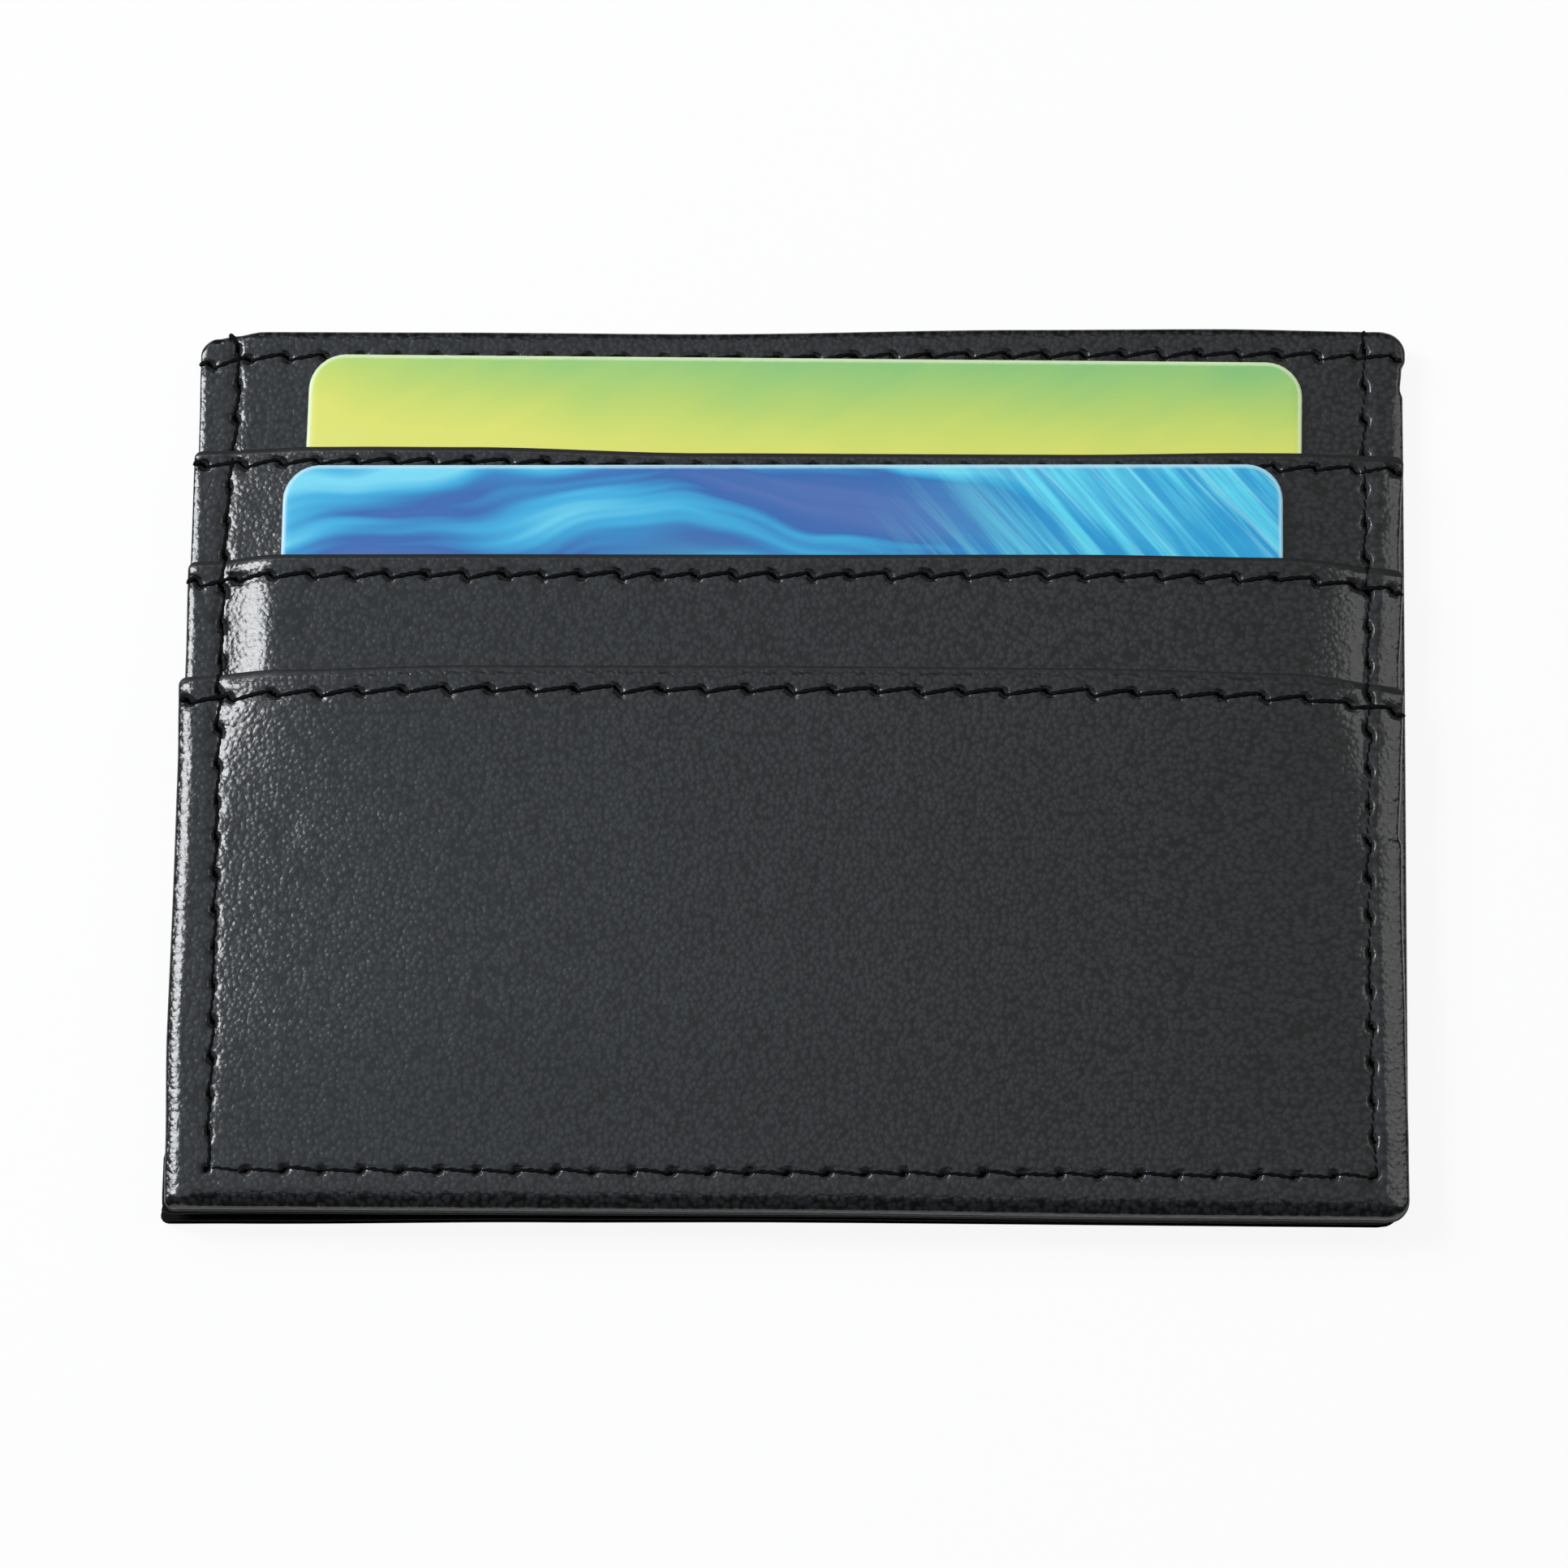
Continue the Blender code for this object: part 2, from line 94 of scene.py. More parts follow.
def light_scene():
    """Two large boxes overhead, bright small ones low on the left and a dim one on the right."""
    for name, place, aim, size, power, colour in LAMPS:
        data = bpy.data.lights.new(name, "AREA")
        data.shape = "RECTANGLE"
        data.size, data.size_y = size
        data.energy, data.color = power, colour
        light = new_object(name, data)
        light.location = place
        light.rotation_euler = (Vector(place) - Vector(aim)).to_track_quat("Z", "Y").to_euler()
    world = bpy.data.worlds.new("studio")
    SCENE.world = world
    world.use_nodes = True
    background = world.node_tree.nodes["Background"]
    background.inputs["Color"].default_value = (0.96, 0.98, 1.0, 1.0)
    background.inputs["Strength"].default_value = 0.08
    SCENE.view_settings.view_transform = "Standard"


# ---- materials


class Shader:
    """A material whose nodes are added one call at a time. place is in millimetres."""

    def __init__(self, name):
        self.material = bpy.data.materials.new(name)
        self.material.use_nodes = True
        self.tree = self.material.node_tree
        self.surface = self.tree.nodes["Principled BSDF"]
        own = self.add("ShaderNodeTexCoord").outputs["Object"]
        millimetres = {"Vector": own, "Scale": (1000.0,) * 3}
        self.place = self.add("ShaderNodeMapping", millimetres).outputs["Vector"]

    def add(self, kind, inputs=None, **settings):
        """A new node. Each input is a value, or a socket to link from."""
        made = self.tree.nodes.new(kind)
        for key, value in settings.items():
            setattr(made, key, value)
        for key, value in (inputs or {}).items():
            self.put(made.inputs[key], value)
        return made

    def put(self, socket, value):
        if isinstance(value, bpy.types.NodeSocket):
            self.tree.links.new(value, socket)
        else:
            socket.default_value = value

    def set(self, **inputs):
        """Sets or links the surface's own inputs, and returns the material."""
        for key, value in inputs.items():
            self.put(self.surface.inputs[key.replace("_", " ")], value)
        return self.material

    def math(self, operation, first, second=0.0):
        return self.add("ShaderNodeMath", {0: first, 1: second}, operation=operation).outputs[0]

    def plus(self, first, second):
        return self.math("ADD", first, second)

    def times(self, first, second):
        return self.math("MULTIPLY", first, second)

    def vector(self, operation, first, second=(0.0,) * 3):
        made = self.add("ShaderNodeVectorMath", {0: first, 1: second}, operation=operation)
        return made.outputs["Value" if operation == "LENGTH" else 0]

    def split(self):
        return self.add("ShaderNodeSeparateXYZ", {"Vector": self.place}).outputs

    def pair(self, x, y):
        return self.add("ShaderNodeCombineXYZ", {0: x, 1: y}).outputs[0]

    def remap(self, value, before, after=(0.0, 1.0), kind="LINEAR"):
        """Moves a value from one range into another, and holds it there."""
        keys = ("From Min", "From Max", "To Min", "To Max")
        inputs = {"Value": value, **dict(zip(keys, (*before, *after)))}
        return self.add("ShaderNodeMapRange", inputs, interpolation_type=kind).outputs[0]

    def noise(self, scale, detail=3.0, roughness=0.5, vector=None, output="Fac"):
        inputs = {"Scale": scale, "Detail": detail, "Roughness": roughness}
        inputs["Vector"] = self.place if vector is None else vector
        return self.add("ShaderNodeTexNoise", inputs).outputs[output]

    def ramp(self, value, *stops):
        """A colour ramp. Each stop is a place and a grey value or colour."""
        made = self.add("ShaderNodeValToRGB", {"Fac": value})
        ramp = made.color_ramp
        while len(ramp.elements) < len(stops):
            ramp.elements.new(0.5)
        for element, (place, colour) in zip(ramp.elements, stops):
            element.position = place
            element.color = (*np.broadcast_to(colour, 3), 1.0)
        return made.outputs["Color"]

    def mix(self, share, first, second):
        made = self.add("ShaderNodeMix", data_type="RGBA")
        for socket, value in ((0, share), (6, first), (7, second)):
            self.put(made.inputs[socket], (*value, 1.0) if isinstance(value, tuple) else value)
        return made.outputs[2]

    def bump(self, height, strength, distance, below=None):
        inputs = {"Height": height, "Strength": strength, "Distance": distance}
        if below is not None:
            inputs["Normal"] = below
        return self.add("ShaderNodeBump", inputs).outputs["Normal"]


def leather_material():
    """Black pebbled leather with a polished finish. Painted shade makes it near black and dull down
    in its stitch holes, along the mouths and along the foot.
    """
    make = Shader("black_leather")
    drift = make.noise(0.9, 2.0, output="Color")
    bent = make.vector("ADD", make.place, make.vector("MULTIPLY", drift, (0.3,) * 3))
    inputs = {"Vector": bent, "Scale": 2.2, "Smoothness": 0.35}
    cells = make.add("ShaderNodeTexVoronoi", inputs, feature="SMOOTH_F1").outputs["Distance"]
    pebble = make.ramp(cells, (0.08, 1.0), (0.72, 0.0))
    crowns = make.ramp(cells, (0.3, 1.0), (0.72, 0.0))
    pores = make.noise(3.4, 2.0, vector=bent)
    grain = make.bump(make.plus(pebble, make.times(pores, 0.8)), 0.31, 0.00007)
    normal = make.bump(make.noise(0.35, 2.0), 0.25, 0.00025, grain)
    broad = make.times(make.noise(0.07, 2.0), 0.35)
    pit = make.add("ShaderNodeAttribute", attribute_name="pit").outputs["Fac"]
    # Painted shade: the tone goes near black deep in stitch holes and along the shaded mouths and
    # foot.
    shade = make.ramp(pit, (0.19, 0.0), (0.4, 1.0))
    dull = make.ramp(pit, (0.13, 0.0), (0.36, 1.0))
    tone = make.mix(crowns, (0.0004, 0.0005, 0.0006), (0.0208, 0.022, 0.0246))
    tone = make.mix(broad, tone, (0.004, 0.0048, 0.006))
    tone = make.mix(shade, tone, (0.0006,) * 3)
    rough = make.plus(make.remap(pores, (0.3, 0.7), (0.16, 0.24)), make.times(dull, 0.6))
    return make.set(Base_Color=tone, Roughness=rough, Normal=normal, Specular_IOR_Level=0.6)


def fibrous_material(name, scale, dark, pale, bump, **surface):
    """Dull black with short fibres, for the cut edge of the leather and for thread."""
    make = Shader(name)
    fibres = make.noise(scale, 4.0, 0.7)
    tone = make.mix(fibres, dark, pale)
    return make.set(Base_Color=tone, Normal=make.bump(fibres, *bump), **surface)


def hole_material():
    """Painted shade for the inside of a stitch hole: near black and dull."""
    make = Shader("stitch_hole")
    tone = make.mix(make.noise(6.0), (0.0002,) * 3, (0.0012, 0.0012, 0.0013))
    return make.set(Base_Color=tone, Roughness=0.9, Specular_IOR_Level=0.02)


def lining_material():
    """Thin black fabric in a plain weave."""
    make = Shader("black_lining")
    inputs = {"Vector": make.place, "Scale": 0.7, "Distortion": 0.4, "Detail Scale": 2.0}
    yarns = [
        make.add("ShaderNodeTexWave", inputs, bands_direction=way).outputs["Fac"] for way in "XY"
    ]
    weave = make.times(*yarns)
    tone = make.mix(weave, (0.006, 0.006, 0.0065), (0.026, 0.026, 0.029))
    tone = make.mix(make.times(make.noise(6.0), 0.3), tone, (0.014, 0.014, 0.015))
    return make.set(Base_Color=tone, Roughness=0.86, Normal=make.bump(weave, 0.6, 0.00006))


def foil_material():
    make = Shader("shield_foil")
    inputs = {"Vector": make.place, "Scale": 0.35}
    creases = make.add("ShaderNodeTexVoronoi", inputs, feature="DISTANCE_TO_EDGE")
    dents = make.noise(0.8)
    height = make.plus(creases.outputs["Distance"], make.times(dents, 0.5))
    tone = make.mix(dents, (0.66, 0.67, 0.69), (0.8, 0.81, 0.82))
    rough = make.remap(dents, (0.0, 1.0), (0.2, 0.42))
    normal = make.bump(height, 0.4, 0.0002)
    return make.set(Base_Color=tone, Roughness=rough, Normal=normal, Metallic=1.0)


def card_material(name, paint, rim=None):
    """Glossy printed plastic. paint turns the card's own millimetres into a colour."""
    make = Shader(name)
    colour = paint(make)
    if rim:
        colour = make.mix(margin(make), colour, rim)
    sheen = make.remap(make.noise(0.4), (0.0, 1.0), (0.26, 0.36))
    normal = make.bump(make.noise(0.05, 1.0), 0.2, 0.0008)
    return make.set(Base_Color=colour, Roughness=sheen, Normal=normal, Specular_IOR_Level=0.4)


def disc(make, centre, radius, soft):
    """1 within a radius of a place on the card, falling to 0 over soft."""
    away = make.vector("SUBTRACT", make.place, (*centre, 0.0))
    reach = make.vector("LENGTH", make.vector("MULTIPLY", away, (1.0, 1.0, 0.0)))
    return make.remap(reach, (radius, radius + soft), (1.0, 0.0), "SMOOTHSTEP")


def margin(make):
    """1 along the very edge of a card, where its pale core shines through the print."""
    reach = make.vector("SUBTRACT", make.vector("ABSOLUTE", make.place), (39.62, 23.81, 9.0))
    reach = make.vector("LENGTH", make.vector("MAXIMUM", reach))
    frayed = make.plus(reach, make.times(make.noise(1.5), 0.12))
    return make.remap(frayed, (2.74, 3.05), (0.0, 0.75), "SMOOTHSTEP")


def turned(make, x, y, angle, along, across):
    """Coordinates turned by an angle and scaled, for streaks that run along it."""
    cosine, sine = math.cos(angle), math.sin(angle)
    first = make.plus(make.times(x, cosine), make.times(y, sine))
    second = make.plus(make.times(x, -sine), make.times(y, cosine))
    return make.pair(make.times(first, along), make.times(second, across))


def green_paint(make):
    """Leaf green at the top that turns yellow downwards and to the left, with faint rays."""
    x, y, _ = make.split()
    down = make.times(make.math("SUBTRACT", 26.99, y), 0.0186)
    left = make.times(make.math("MAXIMUM", make.times(x, -1.0)), 0.02)
    left = make.times(make.math("POWER", left, 1.8), 0.105)
    haze = make.times(make.math("SUBTRACT", make.noise(0.1, 2.0), 0.5), 0.06)
    rays = make.noise(1.0, 2.0, vector=turned(make, x, y, 0.55, 0.03, 0.5))
    rays = make.times(make.math("SUBTRACT", rays, 0.5), 0.035)
    colour = make.ramp(
        make.plus(make.plus(down, left), make.plus(haze, rays)),
        (0.0, (0.265, 0.58, 0.205)),
        (0.04, (0.37, 0.64, 0.185)),
        (0.08, (0.495, 0.69, 0.165)),
        (0.12, (0.63, 0.745, 0.155)),
        (0.17, (0.77, 0.79, 0.16)),
        (0.34, (0.8, 0.81, 0.24)),
        (0.62, (0.43, 0.65, 0.2)),
        (1.0, (0.15, 0.43, 0.16)),
    )
    for centre, radius in (((-17.0, 6.0), 3.4), ((-9.5, 1.0), 1.9), ((-23.0, -3.0), 2.4)):
        share = make.times(disc(make, centre, radius, 0.25), 0.55)
        colour = make.mix(share, colour, (0.93, 0.97, 0.8))
    return colour


def blue_paint(make):
    """Blue sweeps over one another, and on the right fine pale streaks that run downhill."""
    x, y, _ = make.split()
    hub = make.vector("SUBTRACT", make.pair(make.times(x, 0.62), y), (-11.0, -32.0, 0.0))
    slow = make.times(make.noise(0.035, 2.0), 2.6)
    sweep = make.plus(make.times(make.vector("LENGTH", hub), 0.16), slow)
    deep = make.times(disc(make, (-31.0, 17.0), 3.0, 12.0), 0.07)
    bands = make.noise(1.0, 3.0, 0.55, make.pair(sweep, make.times(x, 0.012)))
    colour = make.ramp(
        make.math("SUBTRACT", bands, deep),
        (0.36, (0.08, 0.17, 0.47)),
        (0.44, (0.036, 0.145, 0.45)),
        (0.48, (0.034, 0.27, 0.59)),
        (0.53, (0.05, 0.45, 0.76)),
        (0.59, (0.2, 0.72, 0.92)),
    )
    fine = make.noise(1.0, 3.0, 0.6, turned(make, x, y, -0.87, 0.035, 0.75))
    streak = make.ramp(fine, (0.42, 0.0), (0.61, 1.0))
    rightward = make.remap(x, (6.0, 26.0), kind="SMOOTHSTEP")
    wash = make.mix(streak, (0.018, 0.35, 0.68), (0.13, 0.76, 0.95))
    colour = make.mix(make.times(rightward, 0.85), colour, wash)
    hair = make.noise(1.0, 2.0, vector=turned(make, x, y, -0.83, 0.05, 2.2))
    hair = make.ramp(hair, (0.58, 0.0), (0.72, 1.0))
    glint = make.times(hair, make.times(rightward, 0.45))
    colour = make.mix(glint, colour, (0.45, 0.82, 0.94))
    glow = make.times(disc(make, (-8.0, 12.0), 1.0, 10.0), 0.3)
    return make.mix(glow, colour, (0.22, 0.62, 0.55))


def back_paint(make):
    """Pale plastic with a dark stripe."""
    _, y, _ = make.split()
    colour = make.mix(make.noise(0.4), (0.74, 0.75, 0.74), (0.82, 0.82, 0.81))
    away = make.math("ABSOLUTE", make.math("SUBTRACT", y, 17.0))
    stripe = make.remap(away, (6.2, 6.3), (1.0, 0.0), "SMOOTHSTEP")
    return make.mix(stripe, colour, (0.02, 0.02, 0.022))


# ---- shapes


def box_mm(node):
    low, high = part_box(node)
    return [v / MM for v in (low.x, high.x, low.y, high.y, low.z, high.z)]


def ease(value, start, end):
    share = np.clip((value - start) / (end - start), 0.0, 1.0)
    return share * share * (3 - 2 * share)


def eased_line(value, knots):
    """A line through the knots that levels off at each one."""
    places, levels = np.transpose(knots)
    index = np.clip(np.searchsorted(places, value) - 1, 0, len(knots) - 2)
    share = ease(value, places[index], places[index + 1])
    return levels[index] * (1 - share) + levels[index + 1] * share


def ripple(x, y, seed):
    """A slow wave over a sheet, between about -1 and 1."""
    total = np.zeros_like(x)
    for number in range(5):
        angle = seed * 1.7 + number * 2.4
        length = 9.0 + 5.3 * number + 1.3 * math.sin(seed + number)
        along = (x * math.cos(angle) + y * math.sin(angle)) * 2 * math.pi / length
        total += np.sin(along + seed * 3.1 + number) / 3.2
    return total


# The perimeter seam's height along the foot, and its two sides as points (y, x).
SEAM_FOOT = -36.0
SEAM_LEFT = (
    (-36.0, -48.2), (-22.7, -48.17), (-12.0, -48.4), (2.0, -48.72), (12.5, -48.96),
    (21.5, -48.92), (29.0, -48.6), (34.0, -48.47), (37.3, -48.6), (39.5, -48.9),
)
SEAM_RIGHT = (
    (-36.0, 49.0), (-22.0, 48.9), (-12.0, 48.77), (2.5, 48.77), (11.5, 48.84),
    (21.5, 48.74), (33.0, 48.69), (39.5, 48.72),
)
SEAMS = (SEAM_LEFT, SEAM_RIGHT)


def seam_x(y, seam):
    return np.interp(y, *zip(*seam))


def inside_seams(x, y):
    """How far a place lies inside the side seams and the narrow flat along them."""
    return np.minimum(x - seam_x(y, SEAM_LEFT), seam_x(y, SEAM_RIGHT) - x) - 0.3


def pillow(x, y, width=4.6):
    """0 on the sewn margins, rising to 1 over the cards by a ramp of the given width."""
    share = np.clip(inside_seams(x, y) / width, 0.0, 1.0)
    return np.sin(share * math.pi / 2) ** 1.1


def swell(x, y, length):
    """0 on the sewn margins, and then rising ever more slowly to 1."""
    return 1 - np.exp(-np.maximum(inside_seams(x, y), 0.0) / length)


class Sheet:
    """A sheet of leather or fabric: its outline, its two surfaces and its stitch holes.

    box is (left, right, foot, mouth) and corners are the radii from the lower left,
    anticlockwise. outer is the height of the side that shows. rolls gives the radius
    and depth of the rounded edge, and the height of the plain edge below it, at the
    left, the right, the mouth and the foot. bow and dip bend the mouth's line and the
    foot's, and sway the two sides. dark is painted shade on the rolled edge at the mouth,
    which darkens and dulls it there.
    """

    def __init__(
        self, name, box, corners, outer, inner, rolls, side=1, bow=(), sway=(), dip=(), dark=0.0,
    ):
        self.name, self.box, self.corners = name, box, corners
        self.outer, self.inner, self.rolls = outer, inner, rolls
        self.side, self.dark = side, dark
        self.bow, self.sway, self.dip = bow, sway, dip
        self.seams, self.holes = [], []

    def shift(self, x, y):
        """How far the mouth's uneven line and the sides move a point."""
        move_x = move_y = np.zeros_like(x)
        if self.bow:
            fade = ease(y, self.box[3] - 14.0, self.box[3] - 4.0)
            move_y = eased_line(x, self.bow) * fade
        if self.dip:
            fade = ease(-y, -self.box[2] - 4.0, -self.box[2] - 0.8)
            move_y = move_y + eased_line(x, self.dip) * fade
        if self.sway:
            left = eased_line(y, self.sway[0]) * ease(-x, 30.0, 50.0)
            right = eased_line(y, self.sway[1]) * ease(x, 30.0, 50.0)
            move_x = right - left
        return move_x, move_y

    def placed(self, x, y):
        move_x, move_y = self.shift(x, y)
        return x + move_x, y + move_y

    def found(self, x, y):
        """The sheet's own point that lies at a place."""
        own_x, own_y = x, y
        for _ in range(3):
            move_x, move_y = self.shift(own_x, own_y)
            own_x, own_y = x - move_x, y - move_y
        return own_x, own_y

    def thinness(self, x, y):
        """1 where sewn leather has its full thickness, and less where it is pressed."""
        if not self.seams:
            return np.ones_like(x)
        return np.clip((self.outer(x, y) - self.inner(x, y)) / 0.5, 0.15, 1.0)

    def level(self, x, y):
        """The height of the side that shows, at places, without its rolled edge."""
        return self.outer(*self.found(x, y))


def edge_drop(distance, radius, depth):
    share = np.clip(1 - distance / np.maximum(radius, 1e-6), 0.0, 1.0)
    return depth * (1 - np.sqrt(1 - share * share))


def seam_distance(x, y, seams):
    nearest = np.full_like(x, 99.0)
    for (x0, y0), (x1, y1) in seams:
        run_x, run_y = x1 - x0, y1 - y0
        share = ((x - x0) * run_x + (y - y0) * run_y) / (run_x**2 + run_y**2)
        share = np.clip(share, 0.0, 1.0)
        nearest = np.minimum(nearest, np.hypot(x - x0 - share * run_x, y - y0 - share * run_y))
    return nearest


def stitched(x, y, sheet):
    """How far the seams pull the leather down at each point, and how deep in a hole it is."""
    away = seam_distance(x, y, sheet.seams)
    sink = 0.05 * np.exp(-((away / 0.4) ** 2)) - 0.01 * np.exp(-(((away - 1.1) / 0.5) ** 2))
    pit, bowl = np.zeros_like(x), np.zeros_like(x)
    near = np.nonzero(away < 2.0)[0]
    for hole_x, hole_y, angle, long, wide in sheet.holes:
        local = near[np.abs(x[near] - hole_x) + np.abs(y[near] - hole_y) < 3.2]
        dx, dy = x[local] - hole_x, y[local] - hole_y
        along = dx * math.cos(angle) + dy * math.sin(angle)
        across = dy * math.cos(angle) - dx * math.sin(angle)
        taper = 1.05 - 0.5 * np.minimum((along / long) ** 2, 1.0)
        reach = np.hypot(along / long, across / (wide * taper))
        pit[local] = np.maximum(pit[local], np.exp(-(reach**3.4)))
        spread = (along / (long + 0.3)) ** 2 + (across / (wide + 0.27)) ** 2
        bowl[local] = np.maximum(bowl[local], np.exp(-spread))
    sink *= 1 - 0.55 * ease(x, 44.0, 47.0) - 0.75 * ease(-x, 44.0, 47.0) * ease(-y, 2.0, 14.0)
    room = sheet.outer(x, y) - sheet.inner(x, y) - 0.05
    return np.minimum(sink + 0.3 * pit + 0.07 * bowl, room), pit


def spaced(start, end, step, fine_from=None, coarse=2.4):
    """Lines from start to end. Those before fine_from lie further apart."""
    if fine_from is None or fine_from <= start + coarse:
        return np.linspace(start, end, max(2, round((end - start) / step) + 1))
    low = spaced(start, fine_from, coarse)
    return np.concatenate([low[:-1], spaced(fine_from, end, step)])


def to_corner(across, up, radius):
    """Bends a square corner into a round one."""
    u, v = np.clip(across / radius, 0, 1), np.clip(up / radius, 0, 1)
    return radius * u * np.sqrt(1 - v * v / 2), radius * v * np.sqrt(1 - u * u / 2)


# Faces that lie deeper in a hole than this show the hole material, which is painted shade.
HOLE_PIT = 0.42


def outline(left, foot, right, top):
    """The grid points round a rectangle, anticlockwise from its lower left corner."""
    return (
        [(i, foot) for i in range(left, right)]
        + [(right, j) for j in range(foot, top)]
        + [(i, top) for i in range(right, left, -1)]
        + [(left, j) for j in range(top, foot, -1)]
    )


def cell(ids, i, j):
    return (ids[i, j], ids[i + 1, j], ids[i + 1, j + 1], ids[i, j + 1])


def build_sheet(sheet, step=0.8, fine_from=None, refine=4, inset=0.3):
    """A sheet's vertices and faces, each vertex's depth in a hole, raised where shade is painted
    along the mouth and the foot, and each face's material.

    Its cells are split finer near the seams. The rim rolls over from the side
    that shows to the other side, which keeps the larger cells.
    """
    left, right, foot, mouth = sheet.box

    def edges(x, y):
        """How far a point lies inside each edge, in the order of the rolls."""
        return x - left, right - x, mouth - y, y - foot

    coarse_x = spaced(left + inset, right - inset, step)
    coarse_y = spaced(foot + inset, mouth - inset, step, fine_from)
    count_x, count_y = len(coarse_x) - 1, len(coarse_y) - 1
    fine = np.zeros((count_x, count_y), bool)
    if sheet.seams:
        middles = [(line[1:] + line[:-1]) / 2 for line in (coarse_x, coarse_y)]
        mid_x, mid_y = np.meshgrid(*middles, indexing="ij")
        fine = (seam_distance(mid_x, mid_y, sheet.seams) < 1.45) | (mid_x < left + 1.6)
        fine |= mid_x > right - 1.0
    line_x = np.interp(np.arange(count_x * refine + 1) / refine, np.arange(count_x + 1), coarse_x)
    line_y = np.interp(np.arange(count_y * refine + 1) / refine, np.arange(count_y + 1), coarse_y)
    used = np.zeros((len(line_x), len(line_y)), bool)
    used[::refine, ::refine] = True
    for i, j in np.argwhere(fine):
        used[i * refine : (i + 1) * refine + 1, j * refine : (j + 1) * refine + 1] = True
    ids = np.where(used, np.cumsum(used.ravel()).reshape(used.shape) - 1, -1)
    grid_i, grid_j = np.nonzero(used)
    x, y = line_x[grid_i], line_y[grid_j]
    last_i, last_j = len(line_x) - 1, len(line_y) - 1
    out_x = (grid_i == last_i) * 1.0 - (grid_i == 0)
    out_y = (grid_j == last_j) * 1.0 - (grid_j == 0)
    for radius, (sign_x, sign_y) in zip(sheet.corners, ((-1, -1), (1, -1), (1, 1), (-1, 1))):
        edge_x, edge_y = left if sign_x < 0 else right, foot if sign_y < 0 else mouth
        radius = max(radius, inset + 0.15)
        middle_x, middle_y = edge_x - sign_x * radius, edge_y - sign_y * radius
        across, up = (x - middle_x) * sign_x, (y - middle_y) * sign_y
        inside = (across > 0) & (up > 0)
        new_x, new_y = to_corner(across[inside], up[inside], radius - inset)
        x[inside], y[inside] = middle_x + sign_x * new_x, middle_y + sign_y * new_y
        length = np.maximum(np.hypot(new_x, new_y), 1e-9)
        out_x[inside], out_y[inside] = sign_x * new_x / length, sign_y * new_y / length

    thin = sheet.thinness(x, y)
    sink, pit = stitched(x, y, sheet) if sheet.seams else (np.zeros_like(x),) * 2
    drops = [edge_drop(away, *roll[:2]) for away, roll in zip(edges(x, y), sheet.rolls)]
    drops[2] *= thin
    z = sheet.side * (sheet.outer(x, y) - sink - np.sqrt(sum(drop**2 for drop in drops)))
    points = [np.stack([*sheet.placed(x, y), z], 1)]
    # Painted shade along the mouth's rolled edge, darkening and dulling it.
    mouth_shade = sheet.dark * (1 - ease(mouth - y, inset, inset + 0.5))
    pits = [np.maximum(pit, mouth_shade)]

    walk = [point for point in outline(0, 0, last_i, last_j) if used[point]]
    loop = np.array([ids[point] for point in walk])
    loop_x, loop_y = x[loop], y[loop]
    length = np.maximum(np.hypot(out_x[loop], out_y[loop]), 1e-9)
    normal_x, normal_y = out_x[loop] / length, out_y[loop] / length
    shares = [np.maximum(facing, 0) ** 2 for facing in (-normal_x, normal_x, normal_y, -normal_y)]
    radius, depth, face = (
        sum(roll[part] * share for roll, share in zip(sheet.rolls, shares)) for part in range(3)
    )
    at_mouth = shares[2] > 0.5
    depth[at_mouth] *= thin[loop][at_mouth]
    start = np.arcsin(np.clip(1 - inset / radius, 0, 1))
    level = sheet.outer(loop_x, loop_y) - sink[loop]
    rings = [loop]
    first = len(x)
    profile = [(share, 0.0, 0.0) for share in (0.22, 0.44, 0.64, 0.83, 1.0)]
    rolled = len(profile)
    profile += [(1.0, 0.0, 1.0), (1.0, 0.05, 1.0), (1.0, 0.14, 1.0)]
    for number, (share, tuck, down) in enumerate(profile):
        angle = start + (math.pi / 2 - start) * share
        reach = radius * (1 - np.sin(angle)) + tuck
        fall = depth * (1 - np.cos(angle)) + face * down + min(tuck, 0.06)
        ring_x = loop_x + normal_x * (inset - reach)
        ring_y = loop_y + normal_y * (inset - reach)
        points.append(np.stack([*sheet.placed(ring_x, ring_y), sheet.side * (level - fall)], 1))
        # The first rings keep half the hole depth. Further round, painted shade darkens and dulls
        # the rolled edge at the foot.
        ring_pit_and_foot_shade = pit[loop] * 0.5 if number < 2 else 0.38 * shares[3]
        pits.append(np.maximum(ring_pit_and_foot_shade, mouth_shade[loop]))
        rings.append(first + number * len(loop) + np.arange(len(loop)))
    first += len(profile) * len(loop)

    under = ids[::refine, ::refine]
    under_x, under_y = x[under].ravel(), y[under].ravel()
    low = sheet.inner(under_x, under_y)
    top = sheet.outer(under_x, under_y)
    rim = np.zeros_like(top)
    thin = sheet.thinness(under_x, under_y)
    for number, (away, roll) in enumerate(zip(edges(under_x, under_y), sheet.rolls)):
        drop = (roll[1] * thin if number == 2 else roll[1]) + roll[2] + 0.07
        rim = np.maximum(rim, drop * (1 - ease(away, inset, inset + 1.1)))
    low = np.minimum(low, top - rim)
    points.append(np.stack([*sheet.placed(under_x, under_y), sheet.side * low], 1))
    pits.append(np.zeros_like(low))
    under_ids = first + np.arange(under.size).reshape(under.shape)

